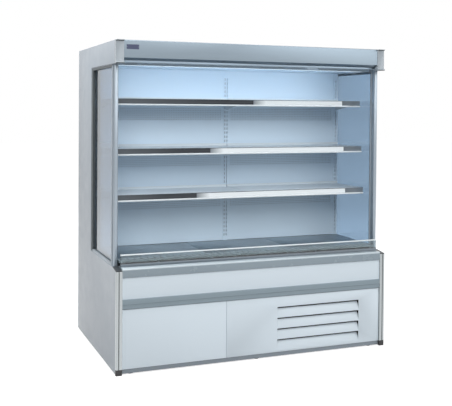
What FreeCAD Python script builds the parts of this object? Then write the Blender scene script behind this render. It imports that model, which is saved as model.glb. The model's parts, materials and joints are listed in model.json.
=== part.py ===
import FreeCAD, Part
import math
import os
import re

import Sketcher
from FreeCAD import Rotation, Vector

# Open multideck display fridge, plug-in type: an insulated body with glazed ends, an open front
# with three lit shelves over a deck, a night blind in the header, fans and a cooling coil in the
# well under the deck, and the condensing unit in the base behind a louvred panel.
# Millimetres. X runs across the front (the left end is negative), Y from the open front to the
# back, Z up. The origin is on the floor under the middle of the body.

SIZES = [
    # the body
    ("width", 1830, "over the end panels"),
    ("depth", 1050, "front of the corner trims to the back"),
    ("height", 1960, "floor to the top of the header"),
    ("floor_gap", 8, "floor to the lowest edge of the end panels"),
    ("sheet_metal", 1.5, "thickness of folded sheet"),
    ("side_wall", 38, "foamed end panel"),
    ("rear_wall", 80, "foamed back panel"),
    ("roof_wall", 45, "foamed roof panel"),
    ("running_gap", 0.08, "radial clearance of a spindle in its bore"),
    # the end panels and their windows
    ("base_height", 610, "floor to the shoulder of an end panel at the front"),
    ("sill_height", 622, "floor to the window sill"),
    ("shoulder_run", 90, "length of the sloping shoulder"),
    ("window_rear", 660, "front to the rear edge of the window opening"),
    ("header_height", 139, "window head to the top of the body"),
    ("stile_width", 34, "rear stile of the window frame"),
    ("frame_rail", 14, "top, bottom and front rails of the window frame"),
    ("frame_depth", 34, "thickness of the window frame"),
    ("frame_inset", 4, "window frame back from the outer face of the end panel"),
    ("glass_edge", 7, "depth of the rebate that holds the glass"),
    ("glass_play", 1, "free space round the glass"),
    ("pane", 4, "one pane"),
    ("pane_gap", 12, "spacer between the panes"),
    ("spacer_width", 6, "width of the spacer bar"),
    ("post_setback", 92, "front to the face of a post"),
    ("post_width", 24, "post across"),
    ("post_depth", 36, "post front to back"),
    ("post_inset", 9, "post back from the outer face of the end panel"),
    ("post_wall", 3, "wall of the post extrusion"),
    ("post_round", 8, "outer corner radius of a post"),
    # the corner trims
    ("trim_return", 18, "trim round the side"),
    ("trim_wall", 2.5, "wall of the trim extrusion"),
    ("trim_round", 7, "outer corner radius of a trim"),
    ("trim_groove", 5, "width of the shadow groove"),
    ("trim_bead", 15, "outer bead beside the groove"),
    ("foot_cap_top", 36, "floor to the top of the plastic cap at the foot of a trim"),
    ("foot_cap_gap", 2, "floor to the underside of that cap"),
    # the base front, from the floor up
    ("frame_bottom", 32, "floor to the base frame"),
    ("frame_tube", 38, "square tube of the base frame"),
    ("panel_clearance", 2, "gap round the lower panels"),
    ("panel_setback", 10, "front to the face of the lower panels"),
    ("panel_fold", 16, "depth of the folded edges of the lower panels"),
    ("seam_from_left", 700, "left end to the joint of the lower panels"),
    ("kick_setback", 14, "front to the kick rail"),
    ("bumper_bottom", 385, "floor to the bumper rail"),
    ("bumper_height", 59, "bumper rail"),
    ("front_skin", 28, "front to the face of the tub and frame"),
    ("bumper_wall", 4, "wall of the bumper and nosing profiles"),
    ("bumper_step", 3, "set-back of the lower half of the bumper"),
    ("strip_height", 128, "plain strip over the bumper"),
    ("strip_setback", 7, "front to the plain strip"),
    ("nosing_height", 53, "front leg of the nosing"),
    ("nosing_depth", 78, "nosing front to back"),
    ("nosing_top", 12, "thickness over the tub wall"),
    ("nosing_round", 10, "radius of the nosing's front edge"),
    # the louvres of the right-hand panel
    ("louvre_count", 4, "blades"),
    ("louvre_pitch", 68, "blade to blade"),
    ("louvre_length", 590, "length of a blade"),
    ("louvre_right", 193, "right end to the louvres"),
    ("louvre_bottom", 45, "floor to the lowest blade"),
    ("louvre_lean", 20, "set-back of a blade's upper edge"),
    ("louvre_slot", 12, "air slot over a blade"),
    # the tub and deck
    ("tub_floor_thick", 40, "foamed floor of the tub"),
    ("tub_bottom", 405, "floor to the underside of the tub"),
    ("tub_wall", 45, "foamed front wall of the tub"),
    ("drain_width", 24, "drain through the tub's floor"),
    ("drain_setback", 400, "drain to the back panel"),
    ("deck_fold", 14, "folded edge of the deck pans"),
    ("bearer_height", 20, "bars under the deck"),
    ("bearer_width", 24, "bars under the deck"),
    ("bearer_inset", 10, "bars at the ends, clear of the posts"),
    ("bearer_seat", 10, "bearing length of a bar on the nosing"),
    ("grille_setback", 84, "front to the return grille"),
    ("grille_width", 66, "return grille front to back"),
    ("grille_slot", 8, "slots of the return grille"),
    ("deck_joint", 2, "gap between deck pans"),
    ("riser_setback", 50, "front to the riser glass"),
    ("riser_glass_thick", 6, "riser glass"),
    ("riser_top", 698, "floor to the top of the riser glass"),
    ("channel_wall", 3, "wall of the riser channel"),
    ("channel_height", 18, "riser channel"),
    # the header
    ("cap_setback", 36, "front to the face of the header caps"),
    ("cap_lip", 13, "reach of the caps' lips"),
    ("cap_rear", 64, "front to the back of the header caps"),
    ("cap_width", 50, "header cap across"),
    ("lip_height", 8, "lips of the header caps"),
    ("fascia_setback", 38, "front to the fascia"),
    ("fascia_height", 104, "fascia face"),
    ("fascia_drop", 13, "slope of the fascia's lower lip"),
    ("fascia_round", 4, "radius of the fascia's folds"),
    ("comb_setback", 150, "front to the air comb"),
    ("comb_width", 65, "air comb front to back"),
    ("comb_height", 20, "air comb"),
    ("comb_wall", 8, "rim of the air comb"),
    ("comb_slots", 36, "rows of cells in the air comb"),
    ("lamp_height", 13, "header lamp"),
    ("lamp_width", 30, "header lamp"),
    ("lamp_play", 2, "header lamp short of the end panels"),
    ("lamp_inset", 60, "shelf lamps short of the end panels"),
    # the night blind
    ("roller_setback", 108, "front to the roller's axis"),
    ("roller_drop", 78, "top of the body to the roller's axis"),
    ("tube_radius", 19, "roller tube"),
    ("roll_radius", 27, "cloth wound on the tube"),
    ("pin_radius", 5, "roller pins"),
    ("pin_length", 7, "roller pins"),
    ("bracket_thick", 8, "blind brackets"),
    ("bracket_width", 44, "blind brackets"),
    ("roller_play", 3, "roller to bracket"),
    ("cloth_thick", 1, "blind cloth"),
    ("cloth_gap", 0.4, "cloth to roll"),
    ("cloth_margin", 9, "cloth short of the bar's ends"),
    ("bar_height", 18, "pull bar"),
    ("bar_depth", 16, "pull bar"),
    ("bar_play", 12, "pull bar short of the end panels"),
    ("bar_drop", 132, "top of the body to the underside of the bar"),
    ("tab_x", 400, "middle to the pull tab"),
    ("tab_width", 80, "pull tab"),
    ("tab_drop", 10, "pull tab below the bar"),
    # uprights, duct panels, shelves
    ("duct_room", 415, "duct panels to the back panel"),
    ("upright_proud", 3, "uprights in front of the duct panels"),
    ("upright_width", 34, "upright across"),
    ("upright_depth", 28, "upright front to back"),
    ("upright_wall", 2, "wall of an upright"),
    ("slot_pitch", 28, "slot to slot"),
    ("slot_first", 698, "floor to the middle of the lowest slot"),
    ("slot_top_gap", 15, "least distance from a column's last slot to the ceiling"),
    ("slot_height", 16, "slot"),
    ("slot_width", 5, "slot"),
    ("slot_column", 8, "centre of an upright to its slot column"),
    ("duct_bottom", 660, "floor to the duct panels"),
    ("duct_fold", 14, "folded edges of the duct panels"),
    ("upper_space", 200, "least height over the upper shelf"),
    ("middle_step", 11, "slots from the middle shelf to the upper one"),
    ("lower_step", 10, "slots from the lower shelf to the middle one"),
    ("shelf_rise", 24, "slot to the top of its shelf"),
    ("lower_reach", 330, "lower shelf front to back"),
    ("middle_reach", 305, "middle shelf front to back"),
    ("upper_reach", 280, "upper shelf front to back"),
    ("shelf_gap", 22, "duct panels to the back of a shelf"),
    ("shelf_fold", 28, "front fold of a shelf"),
    ("shelf_rear_fold", 16, "rear fold of a shelf"),
    ("shelf_play", 8, "shelf short of the end panels"),
    ("bay_gap", 4, "joint between the two bays"),
    ("bracket_plate", 3, "shelf bracket"),
    ("bracket_root", 62, "height of a shelf bracket at the upright"),
    ("bracket_nose", 18, "height of a shelf bracket at its nose"),
    ("hook_height", 12, "hooks of a shelf bracket"),
    ("rail_thick", 4, "price rail"),
    ("rail_height", 33, "price rail"),
    ("rail_lip", 6, "lower lip of the price rail"),
    ("strip_lamp_depth", 20, "shelf lamp front to back"),
    ("strip_lamp_height", 12, "shelf lamp"),
    ("strip_lamp_low", 26, "top of a shelf to the underside of its lamp"),
    # fans and coils in the well
    ("fan_plate_setback", 300, "front to the fan plate"),
    ("fan_pitch", 560, "fan to fan"),
    ("fan_hole", 78, "radius of a hole in the fan plate"),
    ("fan_radius", 70, "evaporator fan"),
    ("fan_hub", 20, "hub radius"),
    ("fan_width", 22, "evaporator fan front to back"),
    ("fan_flange", 22, "folded top of the fan plate"),
    ("spindle", 4, "motor spindle radius"),
    ("motor_radius", 32, "fan motor"),
    ("motor_length", 46, "fan motor"),
    ("motor_gap", 9, "hub to motor"),
    ("arm_thick", 6, "motor bracket arms"),
    ("coil_gap", 80, "cooling coil to the back panel"),
    ("coil_depth", 290, "cooling coil front to back"),
    ("coil_height", 160, "cooling coil"),
    ("coil_inset", 90, "cooling coil short of the end panels"),
    ("fin_slot", 12, "open space between groups of fins"),
    ("fin_pitch", 52, "groups of fins"),
    ("plate_foot", 10, "coil end plates below the fins"),
    ("coil_tube", 8, "radius of the return bends"),
    # the condensing unit
    ("tray_gap", 87, "unit tray to the right end panel"),
    ("tray_width", 730, "unit tray"),
    ("tray_rear", 700, "front to the rear edge of the unit tray"),
    ("tray_front", 74, "front to the front edge of the unit tray"),
    ("tray_fold", 15, "upturned edge of the unit tray"),
    ("condenser_inset", 90, "left edge of the unit tray to the condenser"),
    ("condenser_width", 480, "condenser"),
    ("condenser_setback", 92, "front to the condenser"),
    ("condenser_depth", 66, "condenser"),
    ("condenser_height", 270, "condenser"),
    ("shroud_depth", 40, "fan shroud"),
    ("shroud_hole", 124, "hole of the fan shroud"),
    ("big_fan_radius", 116, "condenser fan"),
    ("big_fan_width", 34, "condenser fan front to back"),
    ("compressor_inset", 230, "right edge of the unit tray to the compressor"),
    ("compressor_setback", 500, "front to the compressor"),
    ("compressor_radius", 82, "compressor shell"),
    ("compressor_height", 190, "compressor shell"),
    ("compressor_dome", 44, "rounding of the shell's top"),
    ("compressor_base_round", 14, "rounding of the shell's base"),
    ("terminal_width", 62, "terminal cover of the compressor"),
    ("terminal_depth", 22, "terminal cover proud of the shell"),
    ("grommet_height", 14, "rubber feet of the compressor"),
    ("pipe_radius", 6, "refrigerant pipes"),
    ("pipe_bend", 30, "bend radius of the pipes"),
    ("discharge_run", 75, "compressor shell to the riser of the discharge line"),
    ("suction_run", 90, "compressor shell to the riser of the suction line"),
    ("liquid_drop", 150, "inlet of the condenser down to its outlet"),
    ("liquid_run", 60, "condenser to the liquid line"),
    ("liquid_front", 120, "compressor shell forwards to the riser of the liquid line"),
    # controls on the box behind the plain panel
    ("box_gap", 97, "left end panel to the control box"),
    ("box_width", 240, "control box"),
    ("box_height", 180, "control box"),
    ("box_setback", 50, "front to the control box"),
    ("box_depth", 116, "control box"),
    ("switch_width", 14, "rocker switch"),
    ("switch_height", 24, "rocker switch"),
    ("switch_play", 0.6, "free space round the rocker"),
    ("switch_rise", 130, "base of the control box to the controls"),
    ("switch_x", 60, "left side of the control box to the rocker"),
    ("knob_x", 150, "left side of the control box to the thermostat knob"),
    ("knob_radius", 18, "thermostat knob"),
    ("knob_length", 16, "thermostat knob"),
    # feet and rear grille
    ("foot_radius", 21, "foot pad"),
    ("foot_pad", 9, "foot pad"),
    ("stud_radius", 6, "foot stud"),
    ("stud_length", 58, "foot stud above the pad"),
    ("stud_play", 0.5, "stud in the base frame"),
    ("foot_inset", 60, "feet from the inner faces of the end panels"),
    ("foot_setback", 47, "front to the front feet"),
    ("vent_pitch", 30, "slots of the rear grille"),
    ("vent_width", 9, "slots of the rear grille"),
    ("vent_height", 200, "slots of the rear grille"),
    ("vent_count", 26, "slots of the rear grille"),
]
VALUES = {name: size for name, size, note in SIZES}

doc = FreeCAD.newDocument("open_multideck_display_fridge")
sheet = doc.addObject("Spreadsheet::Sheet", "Size")
for row, (name, size, note) in enumerate(SIZES, start=1):
    sheet.set(f"A{row}", name)
    sheet.set(f"B{row}", str(size))
    sheet.set(f"C{row}", note)
    sheet.setAlias(f"B{row}", name)
doc.recompute()

NODES = []


def sized(expression):
    """The expression with every size's name pointed at the sheet."""
    return re.sub(
        r"[a-z]\w*",
        lambda word: "Size." + word.group() if word.group() in VALUES else word.group(),
        expression,
    )


def value(expression):
    """What an expression of sizes comes to now, in millimetres."""
    return float(sheet.evalExpression(sized(expression)))


def behind(distance):
    """The Y of a point that lies this far behind the front of the body."""
    return f"({distance} - depth / 2)"


def node(name, thing):
    """Marks a finished sub-part; its label names its file."""
    thing.Label = name
    NODES.append(thing)
    return thing


# ---------------------------------------------------------------- ways of making a piece


def block(x, y, z, name="block"):
    """A box between two expressions on each axis."""
    box = doc.addObject("Part::Box", name)
    for side, place, (low, high) in (("Length", "x", x), ("Width", "y", y), ("Height", "z", z)):
        box.setExpression(side, sized(f"({high}) - ({low})"))
        box.setExpression(f"Placement.Base.{place}", sized(low))
    return box


TURNS = {
    "x": Rotation(Vector(0, 1, 0), 90),
    "y": Rotation(Vector(1, 0, 0), -90),
    "z": Rotation(),
}


def rod(axis, start, length, radius, name="rod"):
    """A cylinder along an axis from its start point."""
    cylinder = doc.addObject("Part::Cylinder", name)
    cylinder.Placement = FreeCAD.Placement(Vector(), TURNS[axis])
    cylinder.setExpression("Radius", sized(radius))
    cylinder.setExpression("Height", sized(length))
    for place, expression in zip("xyz", start):
        cylinder.setExpression(f"Placement.Base.{place}", sized(expression))
    return cylinder


def cut(base, tools, name="cut"):
    result = doc.addObject("Part::Cut", name)
    result.Base = base
    result.Tool = tools[0] if len(tools) == 1 else fuse(tools, name + "_tools")
    return result


def fuse(things, name="fuse"):
    result = doc.addObject("Part::MultiFuse", name)
    result.Shapes = things
    return result


def group(things, name="group"):
    """Like pieces that stay separate solids in one node."""
    result = doc.addObject("Part::Compound", name)
    result.Links = things
    return result


PLANES = {"x": "YZ_Plane", "y": "XZ_Plane", "z": "XY_Plane"}


def sketch(body, axis, loops, start, name):
    """Closed outlines on the plane square to an axis, with every corner tied to the sheet."""
    plane = [o for o in body.Origin.OriginFeatures if o.Role == PLANES[axis]][0]
    outline = body.newObject("Sketcher::SketchObject", name)
    outline.AttachmentSupport = (plane, [""])
    outline.MapMode = "FlatFace"
    for corners in loops:
        first = outline.GeometryCount
        count = len(corners)
        places = [Vector(value(across), value(up), 0) for across, up in corners]
        for index in range(count):
            outline.addGeometry(Part.LineSegment(places[index], places[(index + 1) % count]))
        for index in range(count):
            following = first + (index + 1) % count
            outline.addConstraint(Sketcher.Constraint("Coincident", first + index, 2, following, 1))
        for index, (across, up) in enumerate(corners):
            for kind, expression in (("DistanceX", across), ("DistanceY", up)):
                held = Sketcher.Constraint(kind, -1, 1, first + index, 1, value(expression))
                number = outline.addConstraint(held)
                outline.setExpression(f"Constraints[{number}]", sized(expression))
    offset = f"-({start})" if axis == "y" else start
    outline.setExpression("AttachmentOffset.Base.z", sized(offset))
    return outline


def pad(body, axis, loops, start, end, name="pad"):
    """Outlines pushed out along an axis, from one place to another."""
    feature = body.newObject("PartDesign::Pad", name)
    feature.Profile = sketch(body, axis, loops, start, name + "_outline")
    feature.Reversed = axis == "y"
    feature.setExpression("Length", sized(f"({end}) - ({start})"))
    body.Tip = feature
    return feature


def pocket(body, axis, loops, start, end, name="pocket"):
    """Outlines cut along an axis, from one place to another; it has to remove something."""
    doc.recompute()
    before = body.Shape.Volume
    feature = body.newObject("PartDesign::Pocket", name)
    feature.Profile = sketch(body, axis, loops, start, name + "_outline")
    feature.Reversed = axis != "y"
    feature.setExpression("Length", sized(f"({end}) - ({start})"))
    body.Tip = feature
    doc.recompute()
    if not body.Shape.Volume < before:
        raise RuntimeError(f"{body.Label}: {name} cuts nothing")
    return feature


def extrusion(axis, loops, start, end, name="extrusion"):
    """A body that is one profile pushed along an axis."""
    body = doc.addObject("PartDesign::Body", name)
    pad(body, axis, loops, start, end)
    return body


def rectangle(across, up):
    return [(across[0], up[0]), (across[1], up[0]), (across[1], up[1]), (across[0], up[1])]


def repeat(body, feature, axis, pitch, count, name="pattern"):
    """The same feature again and again along an axis."""
    pattern = body.newObject("PartDesign::LinearPattern", name)
    pattern.Originals = [feature]
    line = [o for o in body.Origin.OriginFeatures if o.Role == axis.upper() + "_Axis"][0]
    pattern.Direction = (line, [""])
    pattern.setExpression("Length", sized(f"({pitch}) * (({count}) - 1)"))
    pattern.setExpression("Occurrences", sized(count))
    body.Tip = pattern
    return pattern


def rounded(body, axis, corners, radius, name="round"):
    """Rounds the edges that run along an axis through the given corners of a profile."""
    doc.recompute()
    first, second = {"x": (1, 2), "y": (0, 2), "z": (0, 1)}[axis]
    places = [(value(across), value(up)) for across, up in corners]
    edges = []
    for number, edge in enumerate(body.Shape.Edges, start=1):
        ends = [vertex.Point for vertex in edge.Vertexes]
        for across, up in places:
            near = [abs(p[first] - across) < 0.01 and abs(p[second] - up) < 0.01 for p in ends]
            if len(ends) == 2 and all(near):
                edges.append(f"Edge{number}")
    before = body.Tip
    feature = body.newObject("PartDesign::Fillet", name)
    feature.Base = (before, edges)
    feature.setExpression("Radius", sized(radius))
    body.Tip = feature
    return feature


SIDES = {"left": -1, "right": 1}


def from_middle(side, near, far):
    """The low and high X of a piece that lies between two distances from the middle."""
    if side == "left":
        return f"-({far})", f"-({near})"
    return near, far


half = "(width / 2)"
inner = "(width / 2 - side_wall)"
between_posts = "min(width / 2 - side_wall; width / 2 - post_inset - post_width)"
window_top = "(height - header_height)"
frame_top = "(frame_bottom + frame_tube)"
well_floor = "(tub_bottom + tub_floor_thick)"
tub_top = "(bumper_bottom + bumper_height + strip_height + nosing_height - nosing_top)"
nosing_level = f"({tub_top} + nosing_top)"
bearer_top = f"({nosing_level} + bearer_height)"
deck_level = f"({bearer_top} + deck_fold)"
ceiling = f"{window_top}"
roof_under = "(height - roof_wall)"
rear_inside = "(depth - rear_wall)"
duct = f"({rear_inside} - duct_room)"
panel_top = "(bumper_bottom - panel_clearance)"
panel_bottom = "(frame_bottom + panel_clearance)"
seam = "(seam_from_left - width / 2)"
tray_left = f"({inner} - tray_gap - tray_width)"
condenser_left = f"({tray_left} + condenser_inset)"
condenser_right = f"({condenser_left} + condenser_width)"
compressor_x = f"({inner} - tray_gap - compressor_inset)"
box_left = f"(box_gap - {inner})"
panel_edge = "(width / 2 - side_wall - panel_clearance / 2)"

# ---------------------------------------------------------------- base


def base_frame():
    """Welded square tube: a ring of sills, cross bars, uprights and two top rails for the tub."""
    front = (behind("front_skin"), behind("front_skin + frame_tube"))
    rear = (behind("depth - 2 * sheet_metal - frame_tube"), behind("depth - 2 * sheet_metal"))
    low = ("frame_bottom", frame_top)
    high = ("tub_bottom - frame_tube", "tub_bottom")
    whole = (f"-{inner}", inner)
    tubes = [block(whole, front, low), block(whole, rear, low)]
    tubes += [block(whole, front, high), block(whole, rear, high)]
    between = (front[1], rear[0])
    ends = [from_middle(side, f"{inner} - frame_tube", inner) for side in SIDES]
    bars = [
        (tray_left, f"{tray_left} + frame_tube"),
        (f"{seam} - frame_tube / 2", f"{seam} + frame_tube / 2"),
    ]
    for place in ends + bars:
        tubes.append(block(place, between, low))
    for place in ends + bars[1:]:
        tubes.append(block(place, front, (frame_top, high[0])))
        tubes.append(block(place, rear, (frame_top, high[0])))
    welded = fuse(tubes, "base_frame_tubes")
    holes = [
        rod("z", (x, y, "frame_bottom"), "frame_tube", "stud_radius + stud_play")
        for x, y in foot_places()
    ]
    node("base_frame", cut(welded, holes, "base_frame"))


def foot_places():
    """Where the feet stand: the ends and the middle of the front and rear sills."""
    rear_line = behind("depth - 2 * sheet_metal - frame_tube / 2")
    for y in (behind("foot_setback"), rear_line):
        for x in (f"foot_inset - {inner}", "0", f"{inner} - foot_inset"):
            yield x, y


def levelling_feet():
    """Round pads on threaded studs, each with a lock nut under the sill."""
    feet = []
    for x, y in foot_places():
        pad_disc = rod("z", (x, y, "0"), "foot_pad", "foot_radius")
        stud = rod("z", (x, y, "foot_pad"), "stud_length", "stud_radius")
        nut = doc.addObject("Part::Prism", "nut")
        nut.Polygon = 6
        nut.setExpression("Circumradius", sized("stud_radius * 1.9"))
        nut.setExpression("Height", sized("frame_bottom - foot_pad"))
        for place, expression in zip("xyz", (x, y, "foot_pad")):
            nut.setExpression(f"Placement.Base.{place}", sized(expression))
        feet.append(fuse([pad_disc, stud, nut]))
    node("levelling_feet", group(feet))


def kick_rail():
    """Folded strip that closes the gap under the lower panels."""
    front, rear = behind("kick_setback"), behind("front_skin + frame_tube")
    corners = [
        (front, "floor_gap"),
        (behind("kick_setback + sheet_metal"), "floor_gap"),
        (behind("kick_setback + sheet_metal"), "frame_bottom - sheet_metal"),
        (rear, "frame_bottom - sheet_metal"),
        (rear, "frame_bottom"),
        (front, "frame_bottom"),
    ]
    body = extrusion("x", [corners], f"-{panel_edge}", panel_edge, "kick_rail")
    gap = "foot_radius + stud_play"
    for x, y in list(foot_places())[:3]:
        span = (f"{x} - ({gap})", f"{x} + ({gap})")
        window = rectangle(span, (f"{y} - ({gap})", f"{rear} + sheet_metal"))
        pocket(body, "z", [window], "frame_bottom - 2 * sheet_metal", "frame_bottom + sheet_metal")
    node("kick_rail", body)


def rear_grille():
    """Sheet cover behind the condensing unit, with upright air slots."""
    y = (behind("depth - 2 * sheet_metal"), behind("depth - sheet_metal"))
    body = extrusion(
        "y", [rectangle((f"-{inner}", inner), ("frame_bottom", "tub_bottom"))], y[0], y[1], "rear_grille"
    )
    left = "-vent_pitch * (vent_count - 1) / 2 - vent_width / 2"
    bottom = "(frame_bottom + tub_bottom - vent_height) / 2"
    slot = rectangle((left, f"{left} + vent_width"), (bottom, f"{bottom} + vent_height"))
    first = pocket(body, "y", [slot], f"{y[0]} - sheet_metal", f"{y[1]} + sheet_metal")
    repeat(body, first, "x", "vent_pitch", "vent_count")
    node("rear_grille", body)


# ---------------------------------------------------------------- insulated body


def end_panels():
    """Foamed end panels with the window cut out; the front shoulder slopes up to the post."""
    for side in SIDES:
        corners = [
            (behind("trim_return"), "floor_gap"),
            (behind("depth"), "floor_gap"),
            (behind("depth"), "height"),
            (behind("cap_rear"), "height"),
            (behind("cap_rear"), window_top),
            (behind("window_rear"), window_top),
            (behind("window_rear"), "sill_height"),
            (behind("shoulder_run"), "sill_height"),
            (behind("trim_return"), "base_height"),
        ]
        low, high = from_middle(side, inner, half)
        node(f"side_panel_{side}", extrusion("x", [corners], low, high, f"side_panel_{side}"))


def window_frames():
    """Frame of rails, rebated from inside for the glass, with a spacer bar between the panes.

    The glass passes the end of the air duct, so a cover sheet closes the duct off inside it."""
    for side in SIDES:
        front = behind("post_setback + post_depth")
        outer = rectangle((front, behind("window_rear")), ("sill_height", window_top))
        daylight = (
            (f"{front} + frame_rail", behind("window_rear - stile_width")),
            ("sill_height + frame_rail", f"{window_top} - frame_rail"),
        )
        low, high = from_middle(side, f"{half} - frame_inset - frame_depth", f"{half} - frame_inset")
        body = extrusion("x", [outer, rectangle(*daylight)], low, high, f"window_rails_{side}")
        rebate = grown(daylight, "glass_edge + glass_play")
        depth_in = "2 * pane + pane_gap + glass_play"
        if side == "left":
            cut_from, cut_to = f"({high}) - ({depth_in})", high
        else:
            cut_from, cut_to = low, f"({low}) + ({depth_in})"
        pocket(body, "x", [rectangle(*rebate)], cut_from, cut_to)
        glass = grown(daylight, "glass_edge")
        inside = grown(daylight, "glass_edge - spacer_width")
        middle = f"{half} - frame_inset - frame_depth + pane"
        low, high = from_middle(side, middle, f"{middle} + pane_gap")
        bar = extrusion("x", [rectangle(*glass), rectangle(*inside)], low, high, f"spacer_{side}")
        face = f"{half} - frame_inset - frame_depth"
        cover = block(
            from_middle(side, f"{face} - sheet_metal", face),
            (behind(f"{upright_front} + upright_depth"), behind("window_rear")),
            ("sill_height", window_top),
        )
        node(f"window_frame_{side}", group([body, bar, cover]))
        panes = []
        for start in ("0", "pane + pane_gap"):
            near = f"{half} - frame_inset - frame_depth + {start}"
            low, high = from_middle(side, near, f"{near} + pane")
            panes.append(block((low, high), *glass))
        node(f"side_glass_{side}", group(panes))


def grown(span, margin):
    """A rectangle's two spans, each longer at both ends."""
    return tuple((f"({low}) - ({margin})", f"({high}) + ({margin})") for low, high in span)


def posts():
    """Hollow aluminium posts with rounded front corners, from the sill to the window head."""
    for side in SIDES:
        x = from_middle(side, f"{half} - post_inset - post_width", f"{half} - post_inset")
        y = (behind("post_setback"), behind("post_setback + post_depth"))
        hollow = grown((x, y), "-post_wall")
        section = [rectangle(x, y), rectangle(*hollow)]
        body = extrusion("z", section, "sill_height", window_top, f"post_{side}")
        rounded(body, "z", [(x[0], y[0]), (x[1], y[0])], "post_round")
        node(f"post_{side}", body)


def rear_panel():
    node(
        "rear_panel",
        block((f"-{inner}", inner), (behind(rear_inside), behind("depth")), ("tub_bottom", roof_under)),
    )


def roof_panel():
    node(
        "roof_panel",
        block((f"-{inner}", inner), (behind("cap_rear"), behind("depth")), (roof_under, "height")),
    )


def insulated_tub():
    """Foamed front wall and floor of the well under the deck, with a drain through the floor."""
    corners = [
        (behind("front_skin"), "tub_bottom"),
        (behind(rear_inside), "tub_bottom"),
        (behind(rear_inside), well_floor),
        (behind("front_skin + tub_wall"), well_floor),
        (behind("front_skin + tub_wall"), tub_top),
        (behind("front_skin"), tub_top),
    ]
    body = extrusion("x", [corners], f"-{inner}", inner, "insulated_tub")
    drain = rectangle(
        ("-drain_width / 2", "drain_width / 2"),
        (behind(f"{rear_inside} - drain_setback - drain_width"), behind(f"{rear_inside} - drain_setback")),
    )
    pocket(body, "z", [drain], "tub_bottom - pipe_radius", f"{well_floor} + pipe_radius")
    node("insulated_tub", body)


def corner_trims():
    """Polished extrusions on the front corners: a flat, a shadow groove and a rounded bead."""
    trims = []
    caps = []
    for side, sign in SIDES.items():
        x_out, x_in = f"{sign} * {half}", f"{sign} * ({half} - side_wall)"
        groove_out = f"{sign} * ({half} - trim_bead)"
        groove_in = f"{sign} * ({half} - trim_bead - trim_groove)"
        front, deep, rear = behind("0"), behind("trim_groove"), behind("trim_return")
        outline = [
            (x_out, front),
            (groove_out, front),
            (groove_out, deep),
            (groove_in, deep),
            (groove_in, front),
            (x_in, front),
            (x_in, rear),
            (f"{sign} * ({half} - side_wall + trim_wall)", rear),
            (f"{sign} * ({half} - side_wall + trim_wall)", f"{deep} + trim_wall"),
            (f"{sign} * ({half} - trim_wall)", f"{deep} + trim_wall"),
            (f"{sign} * ({half} - trim_wall)", rear),
            (x_out, rear),
        ]
        trim = extrusion("z", [outline], "foot_cap_top", "base_height", f"corner_trim_{side}")
        rounded(trim, "z", [(x_out, front)], "trim_round")
        trims.append(trim)
        block_outline = [(x_out, front), (x_in, front), (x_in, rear), (x_out, rear)]
        cap = extrusion("z", [block_outline], "foot_cap_gap", "foot_cap_top", f"foot_cap_{side}")
        rounded(cap, "z", [(x_out, front)], "trim_round")
        caps.append(cap)
    node("corner_trims", group(trims))
    node("corner_foot_caps", group(caps))


# ---------------------------------------------------------------- front of the base


def bumper_rail():
    """Hollow plastic bumper whose lower half steps back."""
    top = "(bumper_bottom + bumper_height)"
    middle = "(bumper_bottom + bumper_height / 2)"
    outline = [
        (behind("0"), middle),
        (behind("bumper_step"), f"{middle} - bumper_step"),
        (behind("bumper_step"), "bumper_bottom + bumper_step"),
        (behind("2 * bumper_step"), "bumper_bottom"),
        (behind("front_skin"), "bumper_bottom"),
        (behind("front_skin"), top),
        (behind("0"), top),
    ]
    low, high = behind("bumper_step + bumper_wall"), behind("front_skin - bumper_wall")
    hollow = rectangle((low, high), ("bumper_bottom + bumper_wall", f"{top} - bumper_wall"))
    body = extrusion("x", [outline, hollow], f"-({half} - side_wall)", f"{half} - side_wall", "bumper_rail")
    rounded(body, "x", [(behind("0"), top)], "bumper_step")
    node("bumper_rail", body)


def front_strip():
    """Plain folded strip between bumper and nosing."""
    low = "(bumper_bottom + bumper_height)"
    high = f"({low} + strip_height)"
    front, rear = behind("strip_setback"), behind("front_skin")
    outline = [
        (front, low),
        (rear, low),
        (rear, f"{low} + sheet_metal"),
        (f"{front} + sheet_metal", f"{low} + sheet_metal"),
        (f"{front} + sheet_metal", f"{high} - sheet_metal"),
        (rear, f"{high} - sheet_metal"),
        (rear, high),
        (front, high),
    ]
    body = extrusion("x", [outline], f"-({half} - side_wall)", f"{half} - side_wall", "front_strip")
    node("front_strip", body)


def nosing():
    """Hollow nosing that hooks over the tub's front wall, rounded at its top front edge."""
    low = "(bumper_bottom + bumper_height + strip_height)"
    outline = [
        (behind("0"), low),
        (behind("front_skin"), low),
        (behind("front_skin"), tub_top),
        (behind("nosing_depth"), tub_top),
        (behind("nosing_depth"), nosing_level),
        (behind("0"), nosing_level),
    ]
    hollow = rectangle(
        (behind("bumper_wall"), behind("front_skin - bumper_wall")),
        (f"{low} + bumper_wall", f"{tub_top} - bumper_wall"),
    )
    body = extrusion("x", [outline, hollow], f"-({half} - side_wall)", f"{half} - side_wall", "nosing")
    rounded(body, "x", [(behind("0"), nosing_level)], "nosing_round")
    node("nosing", body)


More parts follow.
